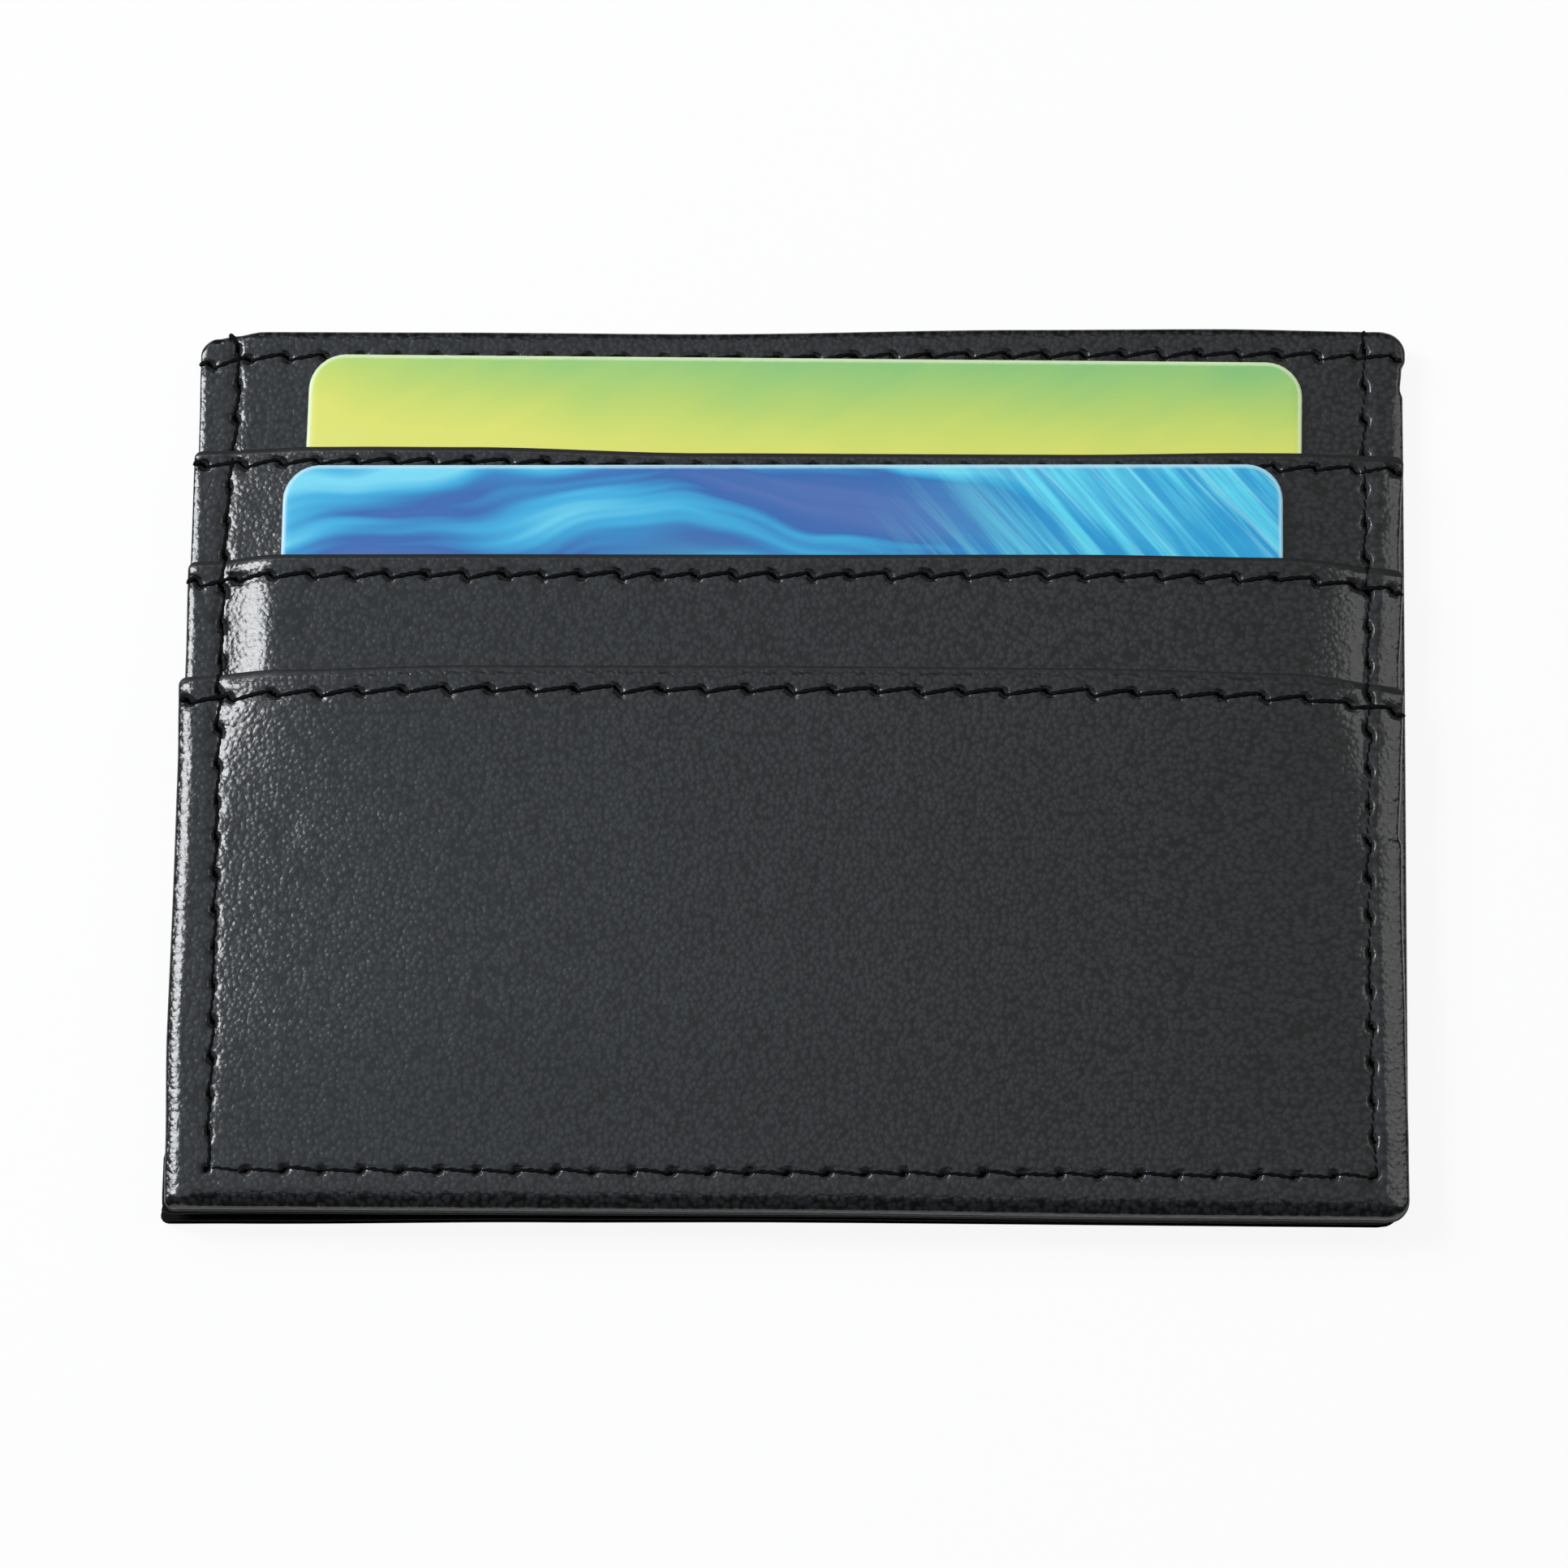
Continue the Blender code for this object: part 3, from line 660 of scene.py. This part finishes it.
    all_pits = np.concatenate(pits)
    faces, dull = [], []
    for i in range(count_x):
        for j in range(count_y):
            a, b = i * refine, j * refine
            if fine[i, j]:
                for p in range(a, a + refine):
                    faces += [cell(ids, p, q) for q in range(b, b + refine)]
            else:
                border = outline(a, b, a + refine, b + refine)
                faces.append([ids[point] for point in border if used[point]])
            dull.append(cell(under_ids.T, j, i))
    size = len(loop)
    for number, (near, far) in enumerate(zip(rings[:-1], rings[1:])):
        target = faces if number < rolled else dull
        for k in range(size):
            n = (k + 1) % size
            target.append((near[k], far[k], far[n], near[n]))
    coarse_at = [k for k, (i, j) in enumerate(walk) if not (i % refine or j % refine)]
    for number, k in enumerate(coarse_at):
        n = coarse_at[(number + 1) % len(coarse_at)]
        between = [m % size for m in range(k, n + 1 if n > k else n + size + 1)]
        ends = [under_ids[walk[m][0] // refine, walk[m][1] // refine] for m in (n, k)]
        dull.append([rings[-1][m] for m in between][::-1] + ends[::-1])
    looks = [
        2 if len(face) == 4 and all_pits[list(face)].min() > HOLE_PIT else 0 for face in faces
    ]
    looks += [1] * len(dull)
    faces += dull
    if sheet.side < 0:
        faces = [face[::-1] for face in faces]
    return np.concatenate(points), faces, all_pits, looks


def new_piece(name, points, faces, material, pits=None, looks=None):
    """An object from points in millimetres. looks is 1 for a cut edge and 2 for a hole."""
    mesh = bpy.data.meshes.new(name)
    mesh.from_pydata((points * MM).tolist(), [], [[int(v) for v in face] for face in faces])
    mesh.shade_smooth()
    mesh.materials.append(material)
    if looks is not None:
        layer = mesh.attributes.new("pit", "FLOAT", "POINT")
        layer.data.foreach_set("value", pits.astype(np.float32))
        mesh.materials.append(EDGE)
        mesh.materials.append(HOLE)
        mesh.polygons.foreach_set("material_index", looks)
    return new_object(name, mesh)


def put_on(piece, node, look, body="holder"):
    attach(piece, body)
    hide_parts(node)


# ---- stitching

# The thread's radius, how deep its ends dive, and how far apart the holes lie.
THREAD, DIVE = 0.21, 0.24
PITCH = 3.25
SIDE_HOLES, SIDE_TOP = 23, 37.3
# Each kind of hole has an angle, and half a length and width.
ROW_SLOT = (-0.76, 0.62, 0.27)
SIDE_SLOT = (-1.22, 0.7, 0.29)
FOOT_SLOT = (0.55, 0.46, 0.27)


def slot(x, y, kind, number):
    """A stitch hole: its place, its angle, and half its length and width. No two are alike."""
    angle, long, wide = kind
    stray = math.sin(number * 2.39 + x * 0.13 + y * 0.29)
    other = math.sin(number * 1.71 + 1.0 + y * 0.4)
    return (
        x + 0.05 * other, y + 0.05 * stray, angle + 0.2 * stray,
        long * (1 + 0.16 * other), wide * (1 + 0.14 * stray),
    )


def row_slots(start, end, pitch, kind):
    """The holes of a straight row."""
    run = np.subtract(end, start)
    count = max(1, round(math.hypot(*run) / pitch))
    return [slot(*np.add(start, run * k / count), kind, k) for k in range(count + 1)]


def slot_end(hole, ahead):
    """The place near the end of a hole that faces along ahead."""
    x, y, angle, long, _ = hole
    way = np.array((math.cos(angle), math.sin(angle)))
    return (x, y) + (0.62 * long if way @ ahead >= 0 else -0.62 * long) * way


def one_stitch(start, end, arch, heights, sides=12, rings=15):
    """A short length of three-ply thread from one hole down into the next."""
    run = end - start
    length = np.hypot(*run)
    ahead = run / length
    share = np.linspace(0, 1, rings)
    path_xy = start + np.outer(share, run)
    path_xy += np.outer(np.sin(share * math.pi) * arch, (-ahead[1], ahead[0]))
    path = np.column_stack([path_xy, heights(*path_xy.T, share)])
    tangent = np.gradient(path, axis=0)
    tangent /= np.linalg.norm(tangent, axis=1)[:, None]
    beside = np.cross(tangent, (0, 0, 1))
    beside /= np.linalg.norm(beside, axis=1)[:, None]
    above = np.cross(beside, tangent)
    turn = np.linspace(0, 2 * math.pi, sides, endpoint=False)
    twist = share * length * 2.6
    lobes = 1 + 0.17 * np.cos(3 * (turn - twist[:, None]))
    swell = THREAD * (0.72 + 0.28 * np.sin(math.pi * np.clip(share, 0.04, 0.96)) ** 0.5)
    radius = lobes * swell[:, None]
    points = (
        path[:, None]
        + beside[:, None] * (radius * np.cos(turn))[..., None]
        + above[:, None] * (radius * np.sin(turn) * 0.9)[..., None]
    )
    faces = []
    for a in range(0, (rings - 1) * sides, sides):
        for k in range(sides):
            n = (k + 1) % sides
            faces.append((a + k, a + n, a + sides + n, a + sides + k))
    faces += [range(sides)[::-1], range((rings - 1) * sides, rings * sides)]
    return points.reshape(-1, 3), faces


def stitch_row(name, node, holes, surface, side, ride_height):
    """All stitches of one seam as one piece. surface gives the leather's height."""
    points, faces, count = [], [], 0
    for number, (first, second) in enumerate(zip(holes[:-1], holes[1:])):
        wobble = 0.04 * math.sin(number * 2.1 + len(name))
        ahead = (second[0] - first[0], second[1] - first[1])
        start, end = slot_end(first, ahead), slot_end(second, (-ahead[0], -ahead[1]))

        def heights(x, y, share, wobble=wobble):
            lift = np.sin(np.clip(np.minimum(share, 1 - share) / 0.2, 0, 1) * math.pi / 2)
            return side * (surface(x, y) + ride_height - DIVE * (1 - lift) + wobble * 0.3)

        made, made_faces = one_stitch(start, end, 0.05 + wobble, heights)
        points.append(made)
        faces += [[v + count for v in face[::side]] for face in made_faces]
        count += len(made)
    put_on(new_piece(name, np.concatenate(points), faces, THREAD_LOOK), node, "black_thread")


# ---- the holder

LEATHER = leather_material()
EDGE = fibrous_material(
    "leather_edge", 5.0, (0.0015, 0.0015, 0.0016), (0.0075, 0.0078, 0.0085),
    Roughness=0.8, Specular_IOR_Level=0.12, bump=(0.7, 0.00008),
)
HOLE = hole_material()
THREAD_LOOK = fibrous_material(
    "black_thread", 9.0, (0.0012, 0.0012, 0.0014), (0.006, 0.0062, 0.007),
    Roughness=0.7, Specular_IOR_Level=0.06, bump=(0.5, 0.00004),
)
LINING = lining_material()
FOIL = foil_material()


def front_outer(x, y):
    edge, middle = 5.4, 5.46 + 1.06 * ease(y, -37.0, -21.0)
    mouth = 0.16 * (1 - ease(7.75 - y, 0.0, 2.6))
    lip = 0.05 * np.exp(-(((y - 6.7) / 0.6) ** 2))
    dent = 0.1 * np.exp(-(((x + 42.3) ** 2 + (y + 6.9) ** 2) / 1.0))
    length = 3.3 + (9.0 + 6.0 * ease(-x, -25.0, 25.0)) * (1 - ease(y, -10.0, 6.0))
    rise = (middle - edge - mouth) * swell(x, y, length)
    pare = bevel(x, -52.0, 1.45, 0.44) + bevel(x, 51.75, 2.0, 0.6, 1.15)
    return edge + rise + lip - dent - pare + 0.02 * ripple(x, y, 1.0) * pillow(x, y)


def pocket_2_outer(x, y):
    edge, middle = 4.4, 4.45 + 1.31 * ease(y, -38.0, -26.0)
    lip = 0.04 * np.exp(-(((y - 16.95) / 0.55) ** 2))
    pare = bevel(x, -51.9, 0.9, 0.22) + bevel(x, 51.7, 1.9, 0.52, 1.15)
    rise = np.where(x < 0, pillow(x, y), swell(x, y, 4.0))
    return edge + (middle - edge) * rise + lip - pare + 0.012 * ripple(x, y, 2.0)


def pocket_1_outer(x, y):
    lip = 0.03 * np.exp(-(((y - 26.95) / 0.5) ** 2))
    pare = bevel(x, 51.75, 1.8, 0.44, 1.15)
    return 3.6 + 0.66 * pillow(x, y, 14.0) + lip - pare + 0.01 * ripple(x, y, 3.0)


def base_outer(x, y):
    lip = 0.03 * np.exp(-(((y - 38.0) / 0.6) ** 2))
    pare = bevel(x, 51.8, 1.0, 0.26, 1.2) * (1 - ease(y, 33.1, 33.9))
    return 2.7 + 0.05 * pillow(x, y) + lip - pare + 0.01 * ripple(x, y, 4.0)


def bevel(x, edge, width, drop, power=2.0):
    """How far a pared margin falls towards its edge."""
    share = np.clip(1 - np.abs(x - edge) / width, 0.0, 1.0)
    return drop * share**power


def front_inner(x, y):
    """The front panel's underside, which rests on the pocket and the card below it."""
    over = np.where(y > 0.5, pocket_2_outer(x, y) + 0.02, card_below(x, y, "blue_card"))
    outer = front_outer(x, y)
    return np.minimum(np.maximum(outer - 0.5, over), outer - 0.25)


def below(outer, thickness):
    return lambda x, y: outer(x, y) - thickness


def card_below(x, y, card):
    """The top of a card where it lies below a place, and far down elsewhere."""
    left, right, foot, mouth, _, top = box_mm(card)
    near, gap = 0.9, 0.03
    on_card = (x > left - near) & (x < right + near) & (y > foot - near) & (y < mouth + near)
    return np.where(on_card, top + gap, -9.0)


def over_card(outer, card):
    """A pocket's underside, pressed thinner where an end of its card lies below the ramp."""

    def inner(x, y):
        level = outer(x, y)
        return np.minimum(np.maximum(level - 0.5, card_below(x, y, card)), level - 0.14)

    return inner


def flat(level):
    return lambda x, y: np.full_like(x, level)


# Rounded edges that several sheets share.
LEFT_ROLL, RIGHT_ROLL, HIDDEN_ROLL = (0.42, 0.38, 0.1), (0.45, 0.38, 0.1), (0.4, 0.34, 0.06)

FRONT = Sheet(
    "front_panel", (-52.0, 51.75, -39.25, 7.75), (0.7, 1.7, 0.7, 0.7), front_outer, front_inner,
    (LEFT_ROLL, RIGHT_ROLL, (0.7, 0.42, 0.04), (1.15, 1.5, 0.02)), dark=0.33,
    bow=((-52, -0.75), (-43, -0.32), (-27, 0.07), (0, 0.07), (24, -0.05), (41.5, -0.4), (52, -1.3)),
    sway=(
        ((-39, -0.3), (-35, -0.2), (-24, 0.08), (-12, 0.05), (-1, 0.1), (8, 0.3)),
        ((-39, 0.25), (-34, 0.2), (-23, 0.0), (-12, -0.2), (-7.4, -0.18), (-6.6, -0.42),
         (-1, -0.22), (8, 0.05)),
    ),
    dip=((-52, -0.02), (-45, -0.02), (0, 0.0), (36, -0.25), (52, -0.3)),
)
POCKET_2 = Sheet(
    "pocket_2", (-51.9, 51.7, 0.9, 17.9), (0.6, 0.6, 0.7, 0.7),
    pocket_2_outer, over_card(pocket_2_outer, "blue_card"),
    (LEFT_ROLL, RIGHT_ROLL, (0.65, 0.42, 0.03), HIDDEN_ROLL), dark=0.41,
    bow=((-52, -0.3), (-43, -0.05), (-27, 0.0), (0, 0.0), (24, 0.05), (41.5, -0.15), (52, -0.75)),
    sway=(((0, 0.0), (9, 0.0), (17, 0.12)), ((0, -0.2), (9, -0.22), (13, -0.02), (17, 0.2))),
)
POCKET_1 = Sheet(
    "pocket_1", (-51.85, 51.75, 10.65, 27.65), (0.6, 0.6, 0.7, 0.7),
    pocket_1_outer, over_card(pocket_1_outer, "green_card"),
    ((0.8, 0.26, 0.2), RIGHT_ROLL, (0.65, 0.42, 0.03), HIDDEN_ROLL), dark=0.41,
    bow=((-52, 0.2), (-42, 0.43), (-28, 0.38), (-8, -0.15), (24, -0.25), (41.5, -0.05), (52, -0.1)),
    sway=(((10, 0.1), (19, 0.05), (27, 0.1)), ((10, -0.1), (19, -0.15), (23, 0.0), (27, 0.25))),
)
BASE = Sheet(
    "base_panel", (-51.8, 51.8, -38.6, 39.0), (1.0, 2.4, 1.9, 1.3),
    base_outer, below(base_outer, 0.5),
    ((0.7, 0.22, 0.15), (0.45, 0.36, 0.1), (0.8, 0.4, 0.0), HIDDEN_ROLL),
    bow=((-52, -0.9), (-50.4, -0.62), (-48.7, -0.32), (-46.5, 0.04), (-31, 0.0), (-8, -0.15),
         (19, 0.24), (36, 0.32), (49, 0.09), (52, -0.1)),
    sway=(
        ((26, -0.1), (31, -0.05), (37, 0.05)),
        ((26, 0.2), (33.1, 0.18), (33.9, -0.04), (35.6, 0.08), (36.6, 0.4), (39, 0.4)),
    ),
)
FRONT_SHEETS = (FRONT, POCKET_2, POCKET_1, BASE)


def back_pocket_outer(x, y):
    return -0.01 - 0.02 * (1 + ripple(x, y, 6.0)) / 2


def back_panel_outer(x, y):
    return -0.62 - 0.18 * ease(31.5 - y, -2.0, 0.0) - 0.01 * ripple(x, y, 7.0)


BACK_LEFT = ((-39, 0.9), (-36.5, 0.5), (-32, 0.0), (39, 0.0))
BACK_POCKET = Sheet(
    "back_pocket", (-51.7, 51.5, -39.15, 33.5), (0.8, 1.9, 0.7, 0.7),
    back_pocket_outer, below(back_pocket_outer, 0.5),
    ((0.8, 0.42, 0.0), (0.8, 0.42, 0.0), HIDDEN_ROLL, (0.7, 0.42, 0.0)), side=-1,
    sway=(BACK_LEFT, ((-39, 0.0), (22, 0.0), (29, 0.35), (33, 0.4))),
    dip=((-52, -0.45), (-45, -0.4), (-20, -0.12), (0, 0.0), (52, -0.1)),
)
BACK_PANEL = Sheet(
    "back_panel", (-51.6, 51.45, -39.05, 38.8), (0.8, 1.9, 1.9, 1.3),
    back_panel_outer, flat(-1.3), ((0.6, 0.4, 0.1),) * 4, side=-1,
    bow=BASE.bow, sway=(BACK_LEFT, ((-39, 0.0), (39, 0.0))), dip=BACK_POCKET.dip,
)


def top_surface(x, y):
    """The height of the leather that shows in front at each place."""
    height = BASE.outer(x, y)
    for sheet in FRONT_SHEETS[::-1]:
        own_x, own_y = sheet.found(x, y)
        height = np.where(own_y <= sheet.box[3] - 0.1, sheet.outer(own_x, own_y), height)
    return height


def back_surface(x, y):
    return np.where(y < BACK_POCKET.box[3], BACK_POCKET.outer(x, y), BACK_PANEL.outer(x, y))


# Each row's height, and the distance between its holes.
ROWS = {
    "base_panel": (36.6, PITCH), "pocket_1": (26.25, PITCH),
    "pocket_2": (15.95, PITCH), "front_panel": (5.5, 3.6),
}


def seam_line(seam, low, high):
    """The part of a side seam between two heights, as short straight pieces."""
    levels = sorted({low, high, *(k[0] for k in seam if low < k[0] < high)})
    places = [(seam_x(y, seam), y) for y in levels]
    return list(zip(places[:-1], places[1:]))


FOOT_SEAM = tuple((seam_x(SEAM_FOOT, seam), SEAM_FOOT) for seam in SEAMS)


def perimeter():
    """The holes down the left side, along the foot and up the right side."""
    levels = [SIDE_TOP + (SEAM_FOOT - SIDE_TOP) * k / SIDE_HOLES for k in range(SIDE_HOLES + 1)]
    left, right = (
        [slot(seam_x(y, seam), y, SIDE_SLOT, k) for k, y in enumerate(levels)] for seam in SEAMS
    )
    along = row_slots(*FOOT_SEAM, 3.2, FOOT_SLOT)
    return left[:-1] + along + right[-2::-1]


def seam_surface(x, y):
    """Where the perimeter thread lies. It is sunk deeper on the right than elsewhere."""
    return top_surface(x, y) + np.where((y < SEAM_FOOT + 0.3) | (x < 0), 0.1, 0.06)


def sew_front():
    """Lays out every hole on the front, tells each sheet of its own and makes the thread."""
    around = perimeter()
    loose = (0.0, 0.1, 0.1)  # where a thread ends at the sheet's edge, without a hole
    for sheet in FRONT_SHEETS:
        left, right, foot, mouth = sheet.box
        row_y, pitch = ROWS[sheet.name]
        row = row_slots((left + 0.9, row_y), (right - 0.9, row_y), pitch, ROW_SLOT)
        sheet.seams.append(((left, row_y), (right, row_y)))
        sheet.holes += row
        low = SEAM_FOOT if sheet is FRONT else foot
        for seam in SEAMS:
            sheet.seams += seam_line(seam, low, mouth)
        for x, y, *rest in around:
            own_x, own_y = sheet.found(x, y)
            if low - 0.1 <= own_y <= mouth - 0.3:
                sheet.holes.append((own_x, own_y, *rest))
        real = [(*sheet.placed(x, y), *rest) for x, y, *rest in row]
        first, last = (left - 0.12, real[0][1] + 0.1), (right + 0.1, real[-1][1] - 0.2)
        real = [(*first, *loose), *real, (*last, *loose)]
        lift = -0.12 if sheet in (POCKET_1, BASE) else -0.09
        stitch_row(f"{sheet.name}_thread", f"{sheet.name}_stitching", real, sheet.level, 1, lift)
    FRONT.seams.append(FOOT_SEAM)
    around = [(-49.45, 38.75, *loose), *around, (48.75, 39.05, *loose)]
    stitch_row("perimeter_thread_front", "perimeter_seam_front", around, seam_surface, 1, -0.25)


def sew_back():
    edge = BACK_POCKET.box[3]
    around = perimeter()
    shallow = 0.04 - THREAD
    for sheet, row_y, low, high, lift in (
        (BACK_POCKET, edge - 1.5, SEAM_FOOT, edge, shallow),
        (BACK_PANEL, 36.8, edge - 3, 38.6, -0.08),
    ):
        row = row_slots((-50.6, row_y), (50.6, row_y), PITCH, ROW_SLOT)
        sheet.seams.append(((-51.6, row_y), (51.6, row_y)))
        for seam in SEAMS:
            sheet.seams += seam_line(seam, low, high)
        sheet.holes += row + [h for h in around if low - 0.1 <= h[1] <= high - 0.3]
        stitch_row(f"{sheet.name}_thread", f"{sheet.name}_stitching", row, sheet.outer, -1, lift)
    BACK_POCKET.seams.append(FOOT_SEAM)
    stitch_row("perimeter_thread_back", "perimeter_seam_back", around, back_surface, -1, shallow)


def leather_piece(sheet, **grid):
    """A sewn sheet. Its holes at the right and along the foot get more painted shade, which darkens
    and dulls a wider ring round each.
    """
    points, faces, pits, looks = build_sheet(sheet, **grid)
    painted_shade_holes = (points[:, 0] > 47.5) | (points[:, 1] < SEAM_FOOT + 1.2)
    pits = np.where(painted_shade_holes, pits**0.35, pits)
    piece = new_piece(f"{sheet.name}_leather", points, faces, LEATHER, pits, looks)
    put_on(piece, sheet.name, "black_leather")


HEM, CLOTH, SHIELD = (EDGE, "black_leather"), (LINING, "black_lining"), (FOIL, "shield_foil")


def filler(node, outer, inner, look, roll, corner=0.5, short=0.0):
    """A strip or sheet in the place of a hidden CAD solid, cut short at its mouth."""
    left, right, foot, mouth = box_mm(node)[:4]
    rolls = ((roll, roll * 0.9, 0.0),) * 4
    box = (left, right, foot, mouth - short)
    corners = (corner, 2.2, corner, corner) if node.endswith("bottom_hem") else (corner,) * 4
    sheet = Sheet(f"{node}_piece", box, corners, outer, inner, rolls)
    points, faces, _, _ = build_sheet(sheet, step=1.6, refine=1, inset=min(0.2, roll * 0.8))
    piece = new_piece(sheet.name, points, faces, look[0])
    put_on(piece, node, look[1])
    return piece


def cloth(node, outer, thickness, corner=0.5):
    """A lining of fabric that lies in its place."""
    piece = filler(node, outer, below(outer, thickness), CLOTH, 0.07, corner)
    left, right, foot, mouth = box_mm(node)[:4]


def build_hems():
    """The turned margins between the sheets, each as thick as the gap it fills."""
    gap = 0.02
    for owner, above, under in (
        ("pocket_1", POCKET_1, base_outer),
        ("pocket_2", POCKET_2, pocket_1_outer),
        ("front_panel", FRONT, pocket_2_outer),
    ):
        outer = below(above.inner, gap)

        def inner(x, y, outer=outer, under=under):
            return np.minimum(under(x, y) + gap, outer(x, y) - 0.12)

        def cloth_top(x, y, above=above):
            return above.inner(x, y) + 0.15 + 0.02 * ripple(x, y, 8.0)

        for hand in ("left", "right"):
            filler(f"{owner}_{hand}_hem", outer, inner, HEM, 0.14, short=1.7)
        if owner != "front_panel":
            filler(f"{owner}_floor", outer, inner, CLOTH, 0.14)
            cloth(f"{owner}_lining", cloth_top, 0.14)
    for owner, top, low in (("back_pocket", 0.6, 0.52), ("centre", 1.86, 1.7)):
        for part in ("left_hem", "right_hem", "bottom_hem"):
            filler(f"{owner}_{part}", flat(top), flat(low), HEM, 0.06)


def build_linings_and_shields():
    for part in ("front", "back"):
        high = box_mm(f"{part}_lining")[5]
        cloth(f"{part}_lining", lambda x, y, z=high: z + 0.015 * ripple(x, y, 9.0), 0.13, 1.8)
        low, high = box_mm(f"{part}_rfid_shield")[4:]
        filler(f"{part}_rfid_shield", flat(high), flat(low), SHIELD, 0.03, 0.6)


def build_fold():
    """The fold along the foot, whose nose shows as a strip below the front panel's roll."""
    node = "front_panel_bottom_fold"
    _, right, _, mouth = box_mm(node)[:4]

    def outer(x, y):
        return np.minimum(FRONT.inner(x, y) - 0.02, 4.45 - 0.62 * ease(-y, 37.9, 38.9))

    rolls = ((0.5, 0.4, 0.2), (0.4, 0.3, 0.2), (0.4, 0.3, 1.2), (0.36, 0.42, 0.1))
    box = (-52.0, right, -39.3, mouth)
    sheet = Sheet(
        "bottom_fold", box, (0.8, 1.9, 0.6, 0.6), outer, flat(2.78), rolls,
        sway=(((-39.3, 0.22), (-38.2, 0.0), (0, 0.0)), ((-39, 0.0), (39, 0.0))),
        dip=((-52, -0.1), (-45, 0.0), (0, 0.05), (36, -0.2), (52, -0.2)),
    )
    points, faces, pits, looks = build_sheet(sheet, step=0.6, refine=1)
    put_on(new_piece(sheet.name, points, faces, EDGE, pits, looks), node, "black_leather")


# ---- cards


def build_card(body, turn, paint, core, rim):
    """A bank card with a printed face, a pale core that shows at its edge, and a plain back."""
    half_width, half_height, thick = 42.8, 26.99, 0.76
    box = (-half_width, half_width, -half_height, half_height)
    rolls = ((0.26, 0.16, thick - 0.32),) * 4
    sheet = Sheet(f"{body}_piece", box, (3.18,) * 4, flat(thick / 2), flat(-thick / 2), rolls)
    points, faces, _, _ = build_sheet(sheet, step=0.7, refine=1, inset=0.22)
    piece = new_piece(sheet.name, points, faces, card_material(f"{body}_print", paint, rim))

    def core_paint(make):
        return make.mix(make.noise(0.6), core, rim)

    for part, other in (("edge", core_paint), ("back", back_paint)):
        piece.data.materials.append(card_material(f"{body}_{part}", other))
    for polygon in piece.data.polygons:
        upward = polygon.normal.z
        polygon.material_index = 2 if upward < -0.7 else 1 if upward < 0.93 else 0
    left, right, foot, mouth, low, high = box_mm(body)
    place = ((left + right) / 2, (foot + mouth) / 2, (low + high) / 2)
    piece.location = [v * MM for v in place]
    piece.rotation_euler.z = math.radians(turn)
    put_on(piece, body, body, body)


def floor_material():
    """White. Most of it shows as plain white, and the rest takes the object's shadow."""
    make = Shader("floor")
    tone = make.mix(make.noise(0.004), (0.9,) * 3, (0.92,) * 3)
    make.set(Base_Color=tone, Roughness=0.9, Specular_IOR_Level=0.1)
    rays = make.add("ShaderNodeLightPath").outputs
    seen = make.plus(rays["Is Camera Ray"], rays["Is Glossy Ray"])
    seen = make.math("MINIMUM", make.plus(seen, rays["Is Transmission Ray"]), 1.0)
    white = make.add("ShaderNodeEmission", {"Color": (1, 1, 1, 1)})
    both = make.add(
        "ShaderNodeMixShader",
        {0: make.times(seen, 0.91), 1: make.surface.outputs[0], 2: white.outputs[0]},
    )
    output = make.tree.nodes["Material Output"]
    make.tree.links.new(both.outputs[0], output.inputs["Surface"])
    return make.material


def build_floor():
    mesh = bpy.data.meshes.new("floor")
    mesh.from_pydata([(-4, -4, 0), (4, -4, 0), (4, 4, 0), (-4, 4, 0)], [], [(0, 1, 2, 3)])
    mesh.materials.append(floor_material())
    floor = new_object("floor", mesh)
    floor.location.z = -0.00007


place_camera()
light_scene()
build_floor()
sew_front()
sew_back()
for front_sheet, first_fine in zip(FRONT_SHEETS, (None, 6.0, 16.0, 26.0)):
    leather_piece(front_sheet, fine_from=first_fine, refine=5)
leather_piece(BACK_POCKET, step=0.9)
leather_piece(BACK_PANEL, step=0.9, fine_from=29.0)
build_hems()
build_linings_and_shields()
build_fold()
build_card("green_card", -0.5, green_paint, (0.5, 0.66, 0.3), (0.76, 0.88, 0.58))
build_card("blue_card", 0.13, blue_paint, (0.25, 0.52, 0.72), (0.5, 0.78, 0.9))
